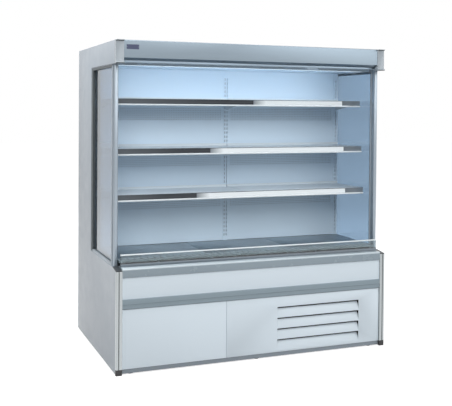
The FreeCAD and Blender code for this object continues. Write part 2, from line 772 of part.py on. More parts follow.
def riser():
    """Low glass along the front of the deck, standing in a channel on the nosing."""
    reach = between_posts
    front = "riser_setback - channel_wall - glass_play"
    rear = "riser_setback + riser_glass_thick + glass_play + channel_wall"
    seat = f"{nosing_level} + channel_wall"
    outline = [
        (behind(front), nosing_level),
        (behind(rear), nosing_level),
        (behind(rear), f"{nosing_level} + channel_height"),
        (behind(f"{rear} - channel_wall"), f"{nosing_level} + channel_height"),
        (behind(f"{rear} - channel_wall"), seat),
        (behind(f"{front} + channel_wall"), seat),
        (behind(f"{front} + channel_wall"), f"{nosing_level} + channel_height"),
        (behind(front), f"{nosing_level} + channel_height"),
    ]
    node("riser_channel", extrusion("x", [outline], f"-{reach}", reach, "riser_channel"))
    y = (behind("riser_setback"), behind("riser_setback + riser_glass_thick"))
    node("riser_glass", block((f"-{reach}", reach), y, (seat, "riser_top")))


def pan_outline(x, z):
    """The front and the rim of a folded panel."""
    return rectangle(x, z), rectangle(*grown((x, z), "-sheet_metal"))


def plain_panel():
    """Folded service panel in front of the electrical side."""
    x = (f"-{panel_edge}", f"{seam} - panel_clearance / 2")
    z = (panel_bottom, panel_top)
    outer, inside = pan_outline(x, z)
    face, rear = behind("panel_setback"), behind("panel_setback + panel_fold")
    body = extrusion("y", [outer], face, rear, "plain_panel")
    pocket(body, "y", [inside], f"{face} + sheet_metal", f"{rear} + sheet_metal")
    node("plain_panel", body)


def louvre_panel():
    """Folded panel with one large opening filled by curved blades.

    Each blade is flush with the panel along its lower edge and curves inwards to its upper edge,
    which stands behind the blade above and leaves the air slot."""
    x = (f"{seam} + panel_clearance / 2", panel_edge)
    z = (panel_bottom, panel_top)
    outer, inside = pan_outline(x, z)
    face, rear = behind("panel_setback"), behind("panel_setback + panel_fold")
    body = extrusion("y", [outer], face, rear, "louvre_panel")
    pocket(body, "y", [inside], f"{face} + sheet_metal", f"{rear} + sheet_metal")
    right = f"({half} - louvre_right)"
    span = (f"{right} - louvre_length", right)
    top = "(louvre_bottom + louvre_count * louvre_pitch)"
    opening = rectangle(span, ("louvre_bottom", top))
    pocket(body, "y", [opening], f"{face} - sheet_metal", f"{face} + 2 * sheet_metal")
    # the blade's section: from flush at its foot, in three flats that follow an arc, to its head
    foot, head = "louvre_bottom", "(louvre_bottom + louvre_pitch - louvre_slot)"
    stations = [(0, 0), (0.12, 0.36), (0.42, 0.72), (1, 1)]
    outside = [
        (f"{face} + louvre_lean * {back}", f"{foot} + ({head} - {foot}) * {up}") for back, up in stations
    ]
    within = [(f"{y} + sheet_metal", z_up) for y, z_up in reversed(outside)]
    blade = pad(body, "x", [outside + within], span[0], span[1], "blade")
    repeat(body, blade, "z", "louvre_pitch", "louvre_count", "blades")
    node("louvre_panel", body)


# ---------------------------------------------------------------- header


def header_caps():
    """End caps with a top lip and a hooked bottom lip, between which the fascia is set back."""
    for side in SIDES:
        lip = "cap_setback - cap_lip"
        outline = [
            (behind(lip), "height"),
            (behind("cap_rear"), "height"),
            (behind("cap_rear"), window_top),
            (behind(f"{lip} + lip_height / 2"), window_top),
            (behind(lip), f"{window_top} + lip_height / 2"),
            (behind(lip), f"{window_top} + lip_height"),
            (behind("cap_setback"), f"{window_top} + lip_height * 1.5"),
            (behind("cap_setback"), "height - lip_height"),
            (behind(lip), "height - lip_height / 2"),
        ]
        low, high = from_middle(side, f"{half} - cap_width", half)
        node(f"header_cap_{side}", extrusion("x", [outline], low, high, f"header_cap_{side}"))


def fascia():
    """Brushed front of the header, folded back at the top and sloping in at the bottom."""
    front, rear = "fascia_setback", "cap_rear"
    low = "(height - fascia_height)"
    lip = f"({low} - fascia_drop)"
    upstand = f"({low} + fascia_drop / 2)"
    outline = [
        (behind(rear), "height"),
        (behind(front), "height"),
        (behind(front), low),
        (behind(rear), lip),
        (behind(rear), upstand),
        (behind(f"{rear} - sheet_metal"), upstand),
        (behind(f"{rear} - sheet_metal"), f"{lip} + 2 * sheet_metal"),
        (behind(f"{front} + sheet_metal"), f"{low} + sheet_metal / 2"),
        (behind(f"{front} + sheet_metal"), "height - sheet_metal"),
        (behind(rear), "height - sheet_metal"),
    ]
    reach = f"({half} - cap_width)"
    body = extrusion("x", [outline], f"-{reach}", reach, "fascia")
    rounded(body, "x", [(behind(front), "height")], "fascia_round")
    node("fascia", body)


def ceiling_panel():
    """Sheet under the supply duct, folded up behind the lamp."""
    front = behind("comb_setback + comb_width + lamp_width")
    rear = behind(f"{duct} - upright_proud")
    outline = [
        (front, ceiling),
        (rear, ceiling),
        (rear, f"{ceiling} + sheet_metal"),
        (f"{front} + sheet_metal", f"{ceiling} + sheet_metal"),
        (f"{front} + sheet_metal", f"{ceiling} + comb_height"),
        (front, f"{ceiling} + comb_height"),
    ]
    node("ceiling_panel", extrusion("x", [outline], f"-{inner}", inner, "ceiling_panel"))


def air_comb():
    """Comb in the discharge opening that lays the cold air down as a curtain."""
    y = (behind("comb_setback"), behind("comb_setback + comb_width"))
    z = (ceiling, f"{ceiling} + comb_height")
    body = extrusion("z", [rectangle((f"-{inner}", inner), y)], z[0], z[1], "air_comb")
    pitch = f"(2 * ({inner} - comb_wall) / comb_slots)"
    slot = rectangle(
        (f"comb_wall / 2 - {inner} + comb_wall / 2", f"{pitch} - {inner}"),
        (f"{y[0]} + comb_wall", f"{y[1]} - comb_wall"),
    )
    first = pocket(body, "z", [slot], f"{z[0]} - comb_wall", f"{z[1]} + comb_wall")
    repeat(body, first, "x", pitch, "comb_slots")
    node("air_comb", body)


def header_lamp():
    """Slim lamp let into the canopy between the air comb and the ceiling."""
    front = "comb_setback + comb_width"
    reach = f"({inner} - lamp_play)"
    y = (behind(front), behind(f"{front} + lamp_width"))
    section = lamp_section(y, f"({ceiling} + lamp_height)", "lamp_height")
    node("header_lamp", extrusion("x", [section], f"-{reach}", reach, "header_lamp"))


def lamp_section(y, top, tall):
    """A lamp's section: square at its back, with the lower corners cut off."""
    slope = f"({tall}) / 3"
    return [
        (y[0], f"{top}"),
        (y[0], f"{top} - ({tall}) + {slope}"),
        (f"{y[0]} + {slope}", f"{top} - ({tall})"),
        (f"{y[1]} - {slope}", f"{top} - ({tall})"),
        (y[1], f"{top} - ({tall}) + {slope}"),
        (y[1], f"{top}"),
    ]


# ---------------------------------------------------------------- night blind

roller_z = "(height - roller_drop)"
roller_reach = f"({inner} - bracket_thick - roller_play)"
bar_bottom = "(height - bar_drop)"
cloth_y = "(roller_setback - roll_radius - cloth_gap - cloth_thick)"
bar_front = f"({cloth_y} + cloth_thick / 2 - bar_depth / 2)"


def blind_brackets():
    """Plates on the end panels that carry the roller's pins."""
    plates = []
    for side in SIDES:
        x = from_middle(side, f"{inner} - bracket_thick", inner)
        y = (behind("roller_setback - bracket_width / 2"), behind("roller_setback + bracket_width / 2"))
        plate = block(x, y, (f"{roller_z} - bracket_width / 2", roof_under))
        start = (x[0], behind("roller_setback"), roller_z)
        bore = rod("x", start, "bracket_thick", "pin_radius + running_gap")
        plates.append(cut(plate, [bore]))
    node("blind_brackets", group(plates))


def blind_roller():
    """Spring roller: a tube with end pins, and the cloth wound on it."""
    centre = (behind("roller_setback"), roller_z)
    tube = rod("x", (f"-{roller_reach}", *centre), f"2 * {roller_reach}", "tube_radius")
    pins = f"({roller_reach} + roller_play + pin_length)"
    pin = rod("x", (f"-{pins}", *centre), f"2 * {pins}", "pin_radius")
    core = fuse([tube, pin])
    wound = f"({inner} - bar_play - cloth_margin)"
    outside = rod("x", (f"-{wound}", *centre), f"2 * {wound}", "roll_radius")
    inside = rod("x", (f"-{wound}", *centre), f"2 * {wound}", "tube_radius")
    roll = cut(outside, [inside])
    node("blind_roller", group([core, roll]))


def blind_cloth():
    """The short length of cloth between the roll and the pull bar."""
    reach = f"({inner} - bar_play - cloth_margin)"
    y = (behind(cloth_y), behind(f"{cloth_y} + cloth_thick"))
    node("blind_cloth", block((f"-{reach}", reach), y, (f"{bar_bottom} + bar_height", roller_z)))


def blind_bar():
    """Weighted pull bar with rounded edges and a finger tab below it."""
    reach = f"({inner} - bar_play)"
    y = (behind(bar_front), behind(f"{bar_front} + bar_depth"))
    section = rectangle(y, (bar_bottom, f"{bar_bottom} + bar_height"))
    body = extrusion("x", [section], f"-{reach}", reach, "blind_bar")
    rounded(body, "x", [(y[0], bar_bottom), (y[1], bar_bottom)], "bar_height / 4")
    tab_y = (f"{y[0]} + bar_depth / 3", f"{y[0]} + bar_depth * 2 / 3")
    tab = rectangle(
        ("tab_x - tab_width / 2", "tab_x + tab_width / 2"),
        (f"{bar_bottom} - tab_drop", f"{bar_bottom} + bar_height / 3"),
    )
    pad(body, "y", [tab], tab_y[0], tab_y[1], "tab")
    node("blind_bar", body)


# ---------------------------------------------------------------- interior

upright_front = f"({duct} - upright_proud)"
side_upright = f"({inner} - upright_width / 2)"


def uprights():
    """Folded channels with columns of slots, from the well floor to the roof."""
    made = []
    for name, centre, columns in (
        ("left", f"-{side_upright}", [f"-{side_upright}"]),
        ("centre", "0", ["-slot_column", "slot_column"]),
        ("right", side_upright, [side_upright]),
    ):
        low, high = f"{centre} - upright_width / 2", f"{centre} + upright_width / 2"
        front, rear = behind(upright_front), behind(f"{upright_front} + upright_depth")
        outline = [
            (low, front),
            (high, front),
            (high, rear),
            (f"{high} - upright_wall", rear),
            (f"{high} - upright_wall", f"{front} + upright_wall"),
            (f"{low} + upright_wall", f"{front} + upright_wall"),
            (f"{low} + upright_wall", rear),
            (low, rear),
        ]
        body = extrusion("z", [outline], well_floor, roof_under, f"upright_{name}")
        for column in columns:
            slot = rectangle(
                (f"{column} - slot_width / 2", f"{column} + slot_width / 2"),
                ("slot_first - slot_height / 2", "slot_first + slot_height / 2"),
            )
            number = len(body.Group)
            span = (f"{front} - upright_wall", f"{front} + 2 * upright_wall")
            first = pocket(body, "y", [slot], *span, f"slot_{number}")
            count = f"floor(({ceiling} - slot_top_gap - slot_first) / slot_pitch)"
            repeat(body, first, "z", "slot_pitch", count, f"slots_{number}")
        made.append(body)
    node("uprights", group(made))


def duct_panels():
    """Folded panels between the uprights, in front of the air duct."""
    panels = []
    for sign in SIDES.values():
        near, far = f"{sign} * upright_width / 2", f"{sign} * ({inner} - upright_width)"
        front, rear = behind(duct), behind(f"{duct} + duct_fold")
        outline = [
            (near, front),
            (far, front),
            (far, rear),
            (f"{far} - {sign} * sheet_metal", rear),
            (f"{far} - {sign} * sheet_metal", f"{front} + sheet_metal"),
            (f"{near} + {sign} * sheet_metal", f"{front} + sheet_metal"),
            (f"{near} + {sign} * sheet_metal", rear),
            (near, rear),
        ]
        panels.append(extrusion("z", [outline], "duct_bottom", f"{window_top} + sheet_metal", "duct_panel"))
    node("duct_panels", group(panels))


upper_slot = f"floor(({ceiling} - upper_space - shelf_rise - slot_first) / slot_pitch)"
LEVELS = {
    "lower": (f"({upper_slot} - middle_step - lower_step)", "lower_reach"),
    "middle": (f"({upper_slot} - middle_step)", "middle_reach"),
    "upper": (upper_slot, "upper_reach"),
}


def level_top(level):
    return f"(slot_first + {LEVELS[level][0]} * slot_pitch + shelf_rise)"


def level_front(level):
    return f"({duct} - shelf_gap - {LEVELS[level][1]})"


def shelves():
    """Shelves folded down in front and up behind, in two bays, with price rails and lamps."""
    rails = []
    lamps = []
    for level in LEVELS:
        top, front = level_top(level), level_front(level)
        rear = f"({duct} - shelf_gap)"
        outline = [
            (behind(front), top),
            (behind(front), f"{top} - shelf_fold"),
            (behind(f"{front} + sheet_metal"), f"{top} - shelf_fold"),
            (behind(f"{front} + sheet_metal"), f"{top} - sheet_metal"),
            (behind(rear), f"{top} - sheet_metal"),
            (behind(rear), f"{top} + shelf_rear_fold"),
            (behind(f"{rear} - sheet_metal"), f"{top} + shelf_rear_fold"),
            (behind(f"{rear} - sheet_metal"), top),
        ]
        bays = []
        for side in SIDES:
            low, high = from_middle(side, "bay_gap / 2", f"{inner} - shelf_play")
            bays.append(extrusion("x", [outline], low, high, f"shelf_{level}_{side}"))
        node(f"shelf_{level}", group(bays))
        reach = f"({inner} - shelf_play)"
        face = behind(f"{front} - rail_thick")
        rail = [
            (behind(front), f"{top} + rail_thick / 2"),
            (face, f"{top} + rail_thick / 2"),
            (face, f"{top} - rail_height + rail_lip / 2"),
            (f"{face} - rail_lip", f"{top} - rail_height"),
            (f"{face} - rail_lip", f"{top} - rail_height - rail_thick / 2"),
            (behind(front), f"{top} - rail_height"),
        ]
        rails.append(extrusion("x", [rail], f"-{reach}", reach, f"price_rail_{level}"))
        lamp_y = (behind(f"{front} + sheet_metal"), behind(f"{front} + sheet_metal + strip_lamp_depth"))
        section = lamp_section(lamp_y, f"({top} - strip_lamp_low + strip_lamp_height)", "strip_lamp_height")
        lamp_reach = f"({inner} - lamp_inset)"
        lamps.append(extrusion("x", [section], f"-{lamp_reach}", lamp_reach, f"shelf_lamp_{level}"))
    node("price_rails", group(rails))
    node("shelf_lamps", group(lamps))


def shelf_brackets():
    """Cantilever plates that hook into the uprights, four to a level, two at the centre upright."""
    plates = []
    for level in LEVELS:
        top = f"({level_top(level)} - sheet_metal)"
        slot = f"(slot_first + {LEVELS[level][0]} * slot_pitch)"
        front = behind(f"{level_front(level)} + strip_lamp_depth + 2 * sheet_metal")
        root = behind(upright_front)
        hook = f"{root} + 2 * upright_wall"
        upper_hook = (f"{slot} - hook_height / 2", f"{slot} + hook_height / 2")
        lower_hook = (f"{upper_hook[0]} - slot_pitch", f"{upper_hook[1]} - slot_pitch")
        outline = [
            (front, top),
            (root, top),
            (root, upper_hook[1]),
            (hook, upper_hook[1]),
            (hook, upper_hook[0]),
            (root, upper_hook[0]),
            (root, lower_hook[1]),
            (hook, lower_hook[1]),
            (hook, lower_hook[0]),
            (root, lower_hook[0]),
            (root, f"{top} - bracket_root"),
            (front, f"{top} - bracket_nose"),
        ]
        for side in SIDES:
            for column in ("slot_column", side_upright):
                half_plate = "bracket_plate / 2"
                low, high = from_middle(side, f"{column} - {half_plate}", f"{column} + {half_plate}")
                plates.append(extrusion("x", [outline], low, high, "shelf_bracket"))
    node("shelf_brackets", group(plates))


def deck():
    """Three pans and the return grille, lying on bars that run from the nosing to the duct."""
    rear = upright_front
    front = "(grille_setback + grille_width)"
    bars = []
    end_bar = f"({inner} - bearer_inset - bearer_width / 2)"
    for centre in (f"-{end_bar}", f"-{inner} / 3", f"{inner} / 3", end_bar):
        left, right = f"{centre} - bearer_width / 2", f"{centre} + bearer_width / 2"
        outline = [
            (left, bearer_top),
            (left, nosing_level),
            (f"{left} + sheet_metal", nosing_level),
            (f"{left} + sheet_metal", f"{bearer_top} - sheet_metal"),
            (f"{right} - sheet_metal", f"{bearer_top} - sheet_metal"),
            (f"{right} - sheet_metal", nosing_level),
            (right, nosing_level),
            (right, bearer_top),
        ]
        start = behind("nosing_depth - bearer_seat")
        bars.append(extrusion("y", [outline], start, behind(rear), "deck_bearer"))
    node("deck_bearers", group(bars))
    section = [
        (behind(front), deck_level),
        (behind(front), bearer_top),
        (behind(f"{front} + sheet_metal"), bearer_top),
        (behind(f"{front} + sheet_metal"), f"{deck_level} - sheet_metal"),
        (behind(f"{rear} - sheet_metal"), f"{deck_level} - sheet_metal"),
        (behind(f"{rear} - sheet_metal"), bearer_top),
        (behind(rear), bearer_top),
        (behind(rear), deck_level),
    ]
    pans = []
    for index in range(3):
        left = f"(2 * {inner} / 3 * {index} - {inner} + deck_joint / 2)"
        right = f"(2 * {inner} / 3 * {index + 1} - {inner} - deck_joint / 2)"
        pans.append(extrusion("x", [section], left, right, "deck_pan"))
    node("deck_pans", group(pans))
    grille_section = [
        (behind("grille_setback"), deck_level),
        (behind("grille_setback"), bearer_top),
        (behind("grille_setback + sheet_metal"), bearer_top),
        (behind("grille_setback + sheet_metal"), f"{deck_level} - sheet_metal"),
        (behind(f"{front} - sheet_metal"), f"{deck_level} - sheet_metal"),
        (behind(f"{front} - sheet_metal"), bearer_top),
        (behind(front), bearer_top),
        (behind(front), deck_level),
    ]
    reach = f"({between_posts} - deck_joint / 2)"
    body = extrusion("x", [grille_section], f"-{reach}", reach, "return_grille")
    pitch = f"(2 * {reach} / 42)"
    slot = rectangle(
        (f"{pitch} / 2 - {reach} - grille_slot / 2", f"{pitch} / 2 - {reach} + grille_slot / 2"),
        (behind("grille_setback + grille_slot"), behind(f"{front} - grille_slot")),
    )
    first = pocket(body, "z", [slot], f"{deck_level} - 2 * sheet_metal", f"{deck_level} + sheet_metal")
    repeat(body, first, "x", pitch, "42")
    node("return_grille", body)


# ---------------------------------------------------------------- fans and cooling coil

coil_front = f"({rear_inside} - coil_gap - coil_depth)"
FAN_NAMES = {"left": "-fan_pitch", "centre": "0", "right": "fan_pitch"}
fan_z = f"(({well_floor} + {nosing_level}) / 2)"
shroud_front = "(condenser_setback + condenser_depth)"
shroud_rear = f"({shroud_front} + shroud_depth)"
condenser_z = f"({frame_top} + sheet_metal)"
big_fan_x = f"({condenser_left} + condenser_width / 2)"
big_fan_z = f"({condenser_z} + condenser_height / 2)"


def fan_plate():
    """Sheet across the well with a hole for each fan and a folded top under the deck bars."""
    front = behind("fan_plate_setback")
    outline = [
        (front, well_floor),
        (f"{front} + sheet_metal", well_floor),
        (f"{front} + sheet_metal", f"{nosing_level} - sheet_metal"),
        (f"{front} + fan_flange", f"{nosing_level} - sheet_metal"),
        (f"{front} + fan_flange", nosing_level),
        (front, nosing_level),
    ]
    sheet_body = extrusion("x", [outline], f"-{inner}", inner, "fan_plate_sheet")
    holes = [
        rod("y", (x, f"{front} - sheet_metal", fan_z), "3 * sheet_metal", "fan_hole")
        for x in FAN_NAMES.values()
    ]
    node("fan_plate", cut(sheet_body, holes))


def rotor_shape(radius, hub, width, blades, bore):
    """An axial fan along +Y from the origin: a hub with a bore and twisted, curved blades."""
    turned = Part.makeCylinder(hub, width, Vector(), Vector(0, 1, 0))
    sections = []
    for share, pitch_angle, chord in ((0.0, 48, 0.95), (0.5, 36, 1.25), (1.0, 26, 1.5)):
        reach = hub * 0.9 + (radius - hub * 0.9) * share
        run = chord * width / 2
        along, across = run * math.sin(math.radians(pitch_angle)), run * math.cos(math.radians(pitch_angle))
        thick = width * 0.05
        middle = width / 2
        points = [
            Vector(-across, middle - along, reach),
            Vector(0, middle + 2 * thick, reach),
            Vector(across, middle + along, reach),
            Vector(across, middle + along - 2 * thick, reach),
            Vector(0, middle - thick, reach),
            Vector(-across, middle - along - 2 * thick, reach),
        ]
        sections.append(Part.makePolygon(points + points[:1]))
    blade = Part.makeLoft(sections, True, True)
    parts = []
    for index in range(blades):
        copy = blade.copy()
        copy.rotate(Vector(), Vector(0, 1, 0), 360 * index / blades)
        parts.append(copy)
    whole = turned.fuse(parts)
    return whole.cut(Part.makeCylinder(bore, width * 3, Vector(0, -width, 0), Vector(0, 1, 0)))


def rotor(name, place, radius, hub, width, blades):
    feature = doc.addObject("Part::Feature", name)
    bore = value("spindle + running_gap")
    feature.Shape = rotor_shape(value(radius), value(hub), value(width), blades, bore)
    feature.Placement = FreeCAD.Placement(Vector(*(value(part) for part in place)), Rotation())
    node(name, feature)


def fans():
    for name, x in FAN_NAMES.items():
        place = (x, behind("fan_plate_setback - fan_width / 2"), fan_z)
        rotor(f"evaporator_fan_{name}", place, "fan_radius", "fan_hub", "fan_width", 5)
    place = (big_fan_x, behind(f"{shroud_rear} - big_fan_width / 2"), big_fan_z)
    rotor("condenser_fan", place, "big_fan_radius", "fan_hub * 1.5", "big_fan_width", 5)


def motor(x, plate, z, hub_rear, width, reach):
    """A round motor behind its fan, on a cross of arms that stand on the plate round the hole."""
    face = f"({hub_rear} + motor_gap)"
    can = rod("y", (x, behind(face), z), "motor_length", "motor_radius")
    shaft = rod("y", (x, behind(f"{face} - motor_gap - ({width})"), z), f"motor_gap + ({width})", "spindle")
    pieces = [can, shaft]
    arm_y = (behind(face), behind(f"{face} + arm_thick"))
    across = (f"{x} - ({reach}) - arm_thick", f"{x} + ({reach}) + arm_thick")
    pieces.append(block(across, arm_y, (f"{z} - arm_thick", f"{z} + arm_thick")))
    for sign in ("-", "+"):
        inner_edge = f"{x} {sign} ({reach})"
        low = inner_edge if sign == "+" else f"{inner_edge} - arm_thick"
        leg = (low, f"{low} + arm_thick")
        pieces.append(block(leg, (behind(plate), behind(face)), (f"{z} - arm_thick", f"{z} + arm_thick")))
    return fuse(pieces)


def fan_motors():
    made = []
    plate_rear = "fan_plate_setback + sheet_metal"
    for x in FAN_NAMES.values():
        made.append(
            motor(x, plate_rear, fan_z, "fan_plate_setback + fan_width / 2", "fan_width", "fan_hole")
        )
    hub_rear = f"{shroud_rear} + big_fan_width / 2"
    made.append(motor(big_fan_x, shroud_rear, big_fan_z, hub_rear, "big_fan_width", "shroud_hole"))
    node("fan_motors", group(made))


def finned_coil(name, x, y, z, foot, bends):
    """A block of fins between end plates that stand on the floor, with return bends at one end."""
    body = doc.addObject("PartDesign::Body", name + "_fins")
    pad(body, "x", [rectangle(y, z)], x[0], x[1], "fins")
    slot_x = f"{x[0]} + (fin_pitch - fin_slot) / 2"
    count = f"floor((({x[1]}) - ({x[0]})) / fin_pitch)"
    depth_in = f"(({y[1]}) - ({y[0]})) / 6"
    opening = rectangle((slot_x, f"{slot_x} + fin_slot"), (f"{z[0]} + fin_slot", f"{z[1]} - fin_slot"))
    first = pocket(body, "y", [opening], f"{y[0]} - fin_slot", f"{y[0]} + {depth_in}", "fin_gap")
    repeat(body, first, "x", "fin_pitch", count, "fin_gaps")
    ends = [
        block((f"({x[0]}) - 2 * sheet_metal", x[0]), y, (foot, z[1])),
        block((x[1], f"({x[1]}) + 2 * sheet_metal"), y, (foot, z[1])),
    ]
    rows = []
    for index in range(bends):
        step = f"((({z[1]}) - ({z[0]})) / {bends})"
        level = f"{z[0]} + {step} * {index + 0.5}"
        rows.append(return_bend(f"({x[1]}) + 2 * sheet_metal", f"(({y[0]}) + ({y[1]})) / 2", level))
    return fuse([body] + ends + rows, name)


def return_bend(x, y, z):
    """A half ring of tube that joins two runs of the coil at its end plate."""
    ring = doc.addObject("Part::Torus", "return_bend")
    ring.Angle3 = 180
    ring.setExpression("Radius1", sized("coil_tube * 2.5"))
    ring.setExpression("Radius2", sized("coil_tube"))
    ring.Placement = FreeCAD.Placement(Vector(), Rotation(Vector(0, 0, 1), -90))
    for place, expression in zip("xyz", (x, y, z)):
        ring.setExpression(f"Placement.Base.{place}", sized(expression))
    return ring


def coils():
    reach = f"({inner} - coil_inset)"
    y = (behind(coil_front), behind(f"{rear_inside} - coil_gap"))
    low = f"({well_floor} + plate_foot)"
    node(
        "evaporator",
        finned_coil("evaporator", (f"-{reach}", reach), y, (low, f"{low} + coil_height"), well_floor, 3),
    )
    x = (condenser_left, condenser_right)
    y = (behind("condenser_setback"), behind(shroud_front))
    z = (f"{condenser_z} + plate_foot", f"{condenser_z} + condenser_height")
    node("condenser", finned_coil("condenser", x, y, z, condenser_z, 4))


# ---------------------------------------------------------------- condensing unit


def unit_tray():
    """Folded tray on the sills that carries the whole condensing unit."""
    x = (tray_left, f"{tray_left} + tray_width")
    y = (behind("tray_front"), behind("tray_rear"))
    body = extrusion("z", [rectangle(x, y)], frame_top, f"{frame_top} + tray_fold", "unit_tray")
    inside = rectangle(*grown((x, y), "-sheet_metal"))
    pocket(body, "z", [inside], condenser_z, f"{condenser_z} + tray_fold")
    node("unit_tray", body)


def fan_shroud():
    """Folded box behind the condenser with the ring that the fan turns in."""
    x = (condenser_left, condenser_right)
    z = (condenser_z, f"{condenser_z} + condenser_height")
    face, rear = behind(shroud_front), behind(shroud_rear)
    body = extrusion("y", [rectangle(x, z)], face, rear, "fan_shroud_box")
    inside = rectangle(*grown((x, z), "-sheet_metal"))
    pocket(body, "y", [inside], f"{face} - sheet_metal", f"{rear} - sheet_metal")
    hole = rod("y", (big_fan_x, f"{rear} - 2 * sheet_metal", big_fan_z), "4 * sheet_metal", "shroud_hole")
    node("fan_shroud", cut(body, [hole]))


def compressor():
    """Welded steel shell with a domed top and base, on a foot plate with four rubber grommets."""
    x, y = compressor_x, behind("compressor_setback")
    low = f"({condenser_z} + grommet_height)"
    plate_side = "compressor_radius * 1.15"
    plate = block(
        (f"{x} - {plate_side}", f"{x} + {plate_side}"),
        (f"{y} - {plate_side}", f"{y} + {plate_side}"),
        (low, f"{low} + 2 * sheet_metal"),
    )
    body = doc.addObject("PartDesign::Body", "compressor_shell")
    shell = body.newObject("PartDesign::AdditiveCylinder", "shell")
    shell.setExpression("Radius", sized("compressor_radius"))
    shell.setExpression("Height", sized("compressor_height"))
    body.Tip = shell
    for level, radius in (("0", "compressor_base_round"), ("compressor_height", "compressor_dome")):
        round_rim(body, level, radius)
    for place, expression in zip("xyz", (x, y, f"{low} + 2 * sheet_metal")):
        body.setExpression(f"Placement.Base.{place}", sized(expression))
    cover = block(
        (f"{x} - terminal_width / 2", f"{x} + terminal_width / 2"),
        (f"{y} - compressor_radius - terminal_depth", f"{y} - compressor_radius / 2"),
        (f"{low} + compressor_height / 3", f"{low} + compressor_height / 3 + terminal_width"),
    )
    grommets = []
    offset = "compressor_radius"
    for across in (f"{x} - {offset}", f"{x} + {offset}"):
        for along in (f"{y} - {offset}", f"{y} + {offset}"):
            grommets.append(rod("z", (across, along, condenser_z), "grommet_height", "2 * stud_radius"))
    node("compressor", fuse([plate, body, cover] + grommets))


def round_rim(body, level, radius):
    """Rounds the circular edge of a turned body at one height."""
    doc.recompute()
    rims = [
        f"Edge{number}"
        for number, edge in enumerate(body.Shape.Edges, start=1)
        if edge.Curve.TypeId == "Part::GeomCircle" and abs(edge.Curve.Center.z - value(level)) < 0.01
    ]
    before = body.Tip
    feature = body.newObject("PartDesign::Fillet", "rim")
    feature.Base = (before, rims)
    feature.setExpression("Radius", sized(radius))
    body.Tip = feature


def bent_pipe(corners, radius, bend):
    """A round pipe along straight runs joined by arcs."""
    edges = []
    at = corners[0]
    for index in range(1, len(corners) - 1):
        corner, following = corners[index], corners[index + 1]
        into = (corner - corners[index - 1]).normalize()
        out = (following - corner).normalize()
        trim = bend * math.tan(into.getAngle(out) / 2)
        start, end = corner - into * trim, corner + out * trim
        centre_line = (out - into).normalize()
        centre = corner + centre_line * (bend / math.cos(into.getAngle(out) / 2))
        middle = centre - centre_line * bend
        edges.append(Part.LineSegment(at, start).toShape())
        edges.append(Part.Arc(start, middle, end).toShape())
        at = end
    edges.append(Part.LineSegment(at, corners[-1]).toShape())
    path = Part.Wire(edges)
    direction = corners[1] - corners[0]
    ring = Part.Wire(Part.makeCircle(radius, corners[0], direction))
    return path.makePipeShell([ring], True, False)


def refrigerant_pipes():
    """Discharge line to the condenser, and the liquid and suction lines up to the tub."""
    bend, radius = value("pipe_bend"), value("pipe_radius")
    x, y = value(compressor_x), value(behind("compressor_setback"))
    shell = value("compressor_radius")
    level = value(f"{condenser_z} + grommet_height + compressor_height / 2")
    inlet = value(f"{condenser_z} + condenser_height * 0.8")
    outlet = inlet - value("liquid_drop")
    end = value(f"{condenser_right} + 2 * sheet_metal")
    under_tub = value("tub_bottom")
    coil_y = value(behind("condenser_setback + condenser_depth / 4"))
    discharge_x = x + shell + value("discharge_run")
    liquid_x, liquid_y = end + value("liquid_run"), y - shell - value("liquid_front")
    suction_x = x - shell - value("suction_run")
    lines = [
        [
            Vector(x + shell, y, level),
            Vector(discharge_x, y, level),
            Vector(discharge_x, y, inlet),
            Vector(discharge_x, coil_y, inlet),
            Vector(end, coil_y, inlet),
        ],
        [
            Vector(end, coil_y, outlet),
            Vector(liquid_x, coil_y, outlet),
            Vector(liquid_x, liquid_y, outlet),
            Vector(liquid_x, liquid_y, under_tub),
        ],
        [
            Vector(x - shell, y, level),
            Vector(suction_x, y, level),
            Vector(suction_x, y, under_tub),
        ],
    ]
    feature = doc.addObject("Part::Feature", "refrigerant_pipes")
    feature.Shape = Part.makeCompound([bent_pipe(corners, radius, bend) for corners in lines])
    node("refrigerant_pipes", feature)


# ---------------------------------------------------------------- controls

controls_z = f"({frame_top} + switch_rise)"
switch_middle = f"({box_left} + switch_x)"
knob_middle = f"({box_left} + knob_x)"


def control_box():
    """Sheet box on the front sill with the mains switch and the thermostat."""
    x = (box_left, f"{box_left} + box_width")
    y = (behind("box_setback"), behind("box_setback + box_depth"))
    box = block(x, y, (frame_top, f"{frame_top} + box_height"))
    gap = "switch_play"
    seat = block(
        (f"{switch_middle} - switch_width / 2 - {gap}", f"{switch_middle} + switch_width / 2 + {gap}"),
        (f"{y[0]} - sheet_metal", f"{y[0]} + switch_width"),
        (f"{controls_z} - switch_height / 2 - {gap}", f"{controls_z} + switch_height / 2 + {gap}"),
    )
    bore = rod(
        "y",
        (knob_middle, f"{y[0]} - sheet_metal", controls_z),
        "knob_length + sheet_metal + switch_play",
        "spindle + running_gap",
    )
    node("control_box", cut(box, [seat, bore]))


def power_switch():
    """Rocker that tips about its middle, with one half proud of the box."""
    front = behind("box_setback")
    proud = "switch_width / 5"
    outline = [
        (f"{front} + switch_width / 2", f"{controls_z} - switch_height / 5"),
        (f"{front} + switch_width / 2", f"{controls_z} + switch_height / 5"),
        (f"{front} + proud / 2", f"{controls_z} + switch_height / 2 - switch_play"),
        (f"{front} - proud", f"{controls_z} + switch_height / 2 - switch_play"),
        (front, controls_z),
        (f"{front} + switch_play", f"{controls_z} - switch_height / 2 + switch_play"),
        (f"{front} + proud", f"{controls_z} - switch_height / 2 + switch_play"),
    ]
    outline = [(across.replace("proud", f"({proud})"), up) for across, up in outline]
    low, high = f"{switch_middle} - switch_width / 2", f"{switch_middle} + switch_width / 2"
    node("power_switch", extrusion("x", [outline], low, high, "power_switch"))


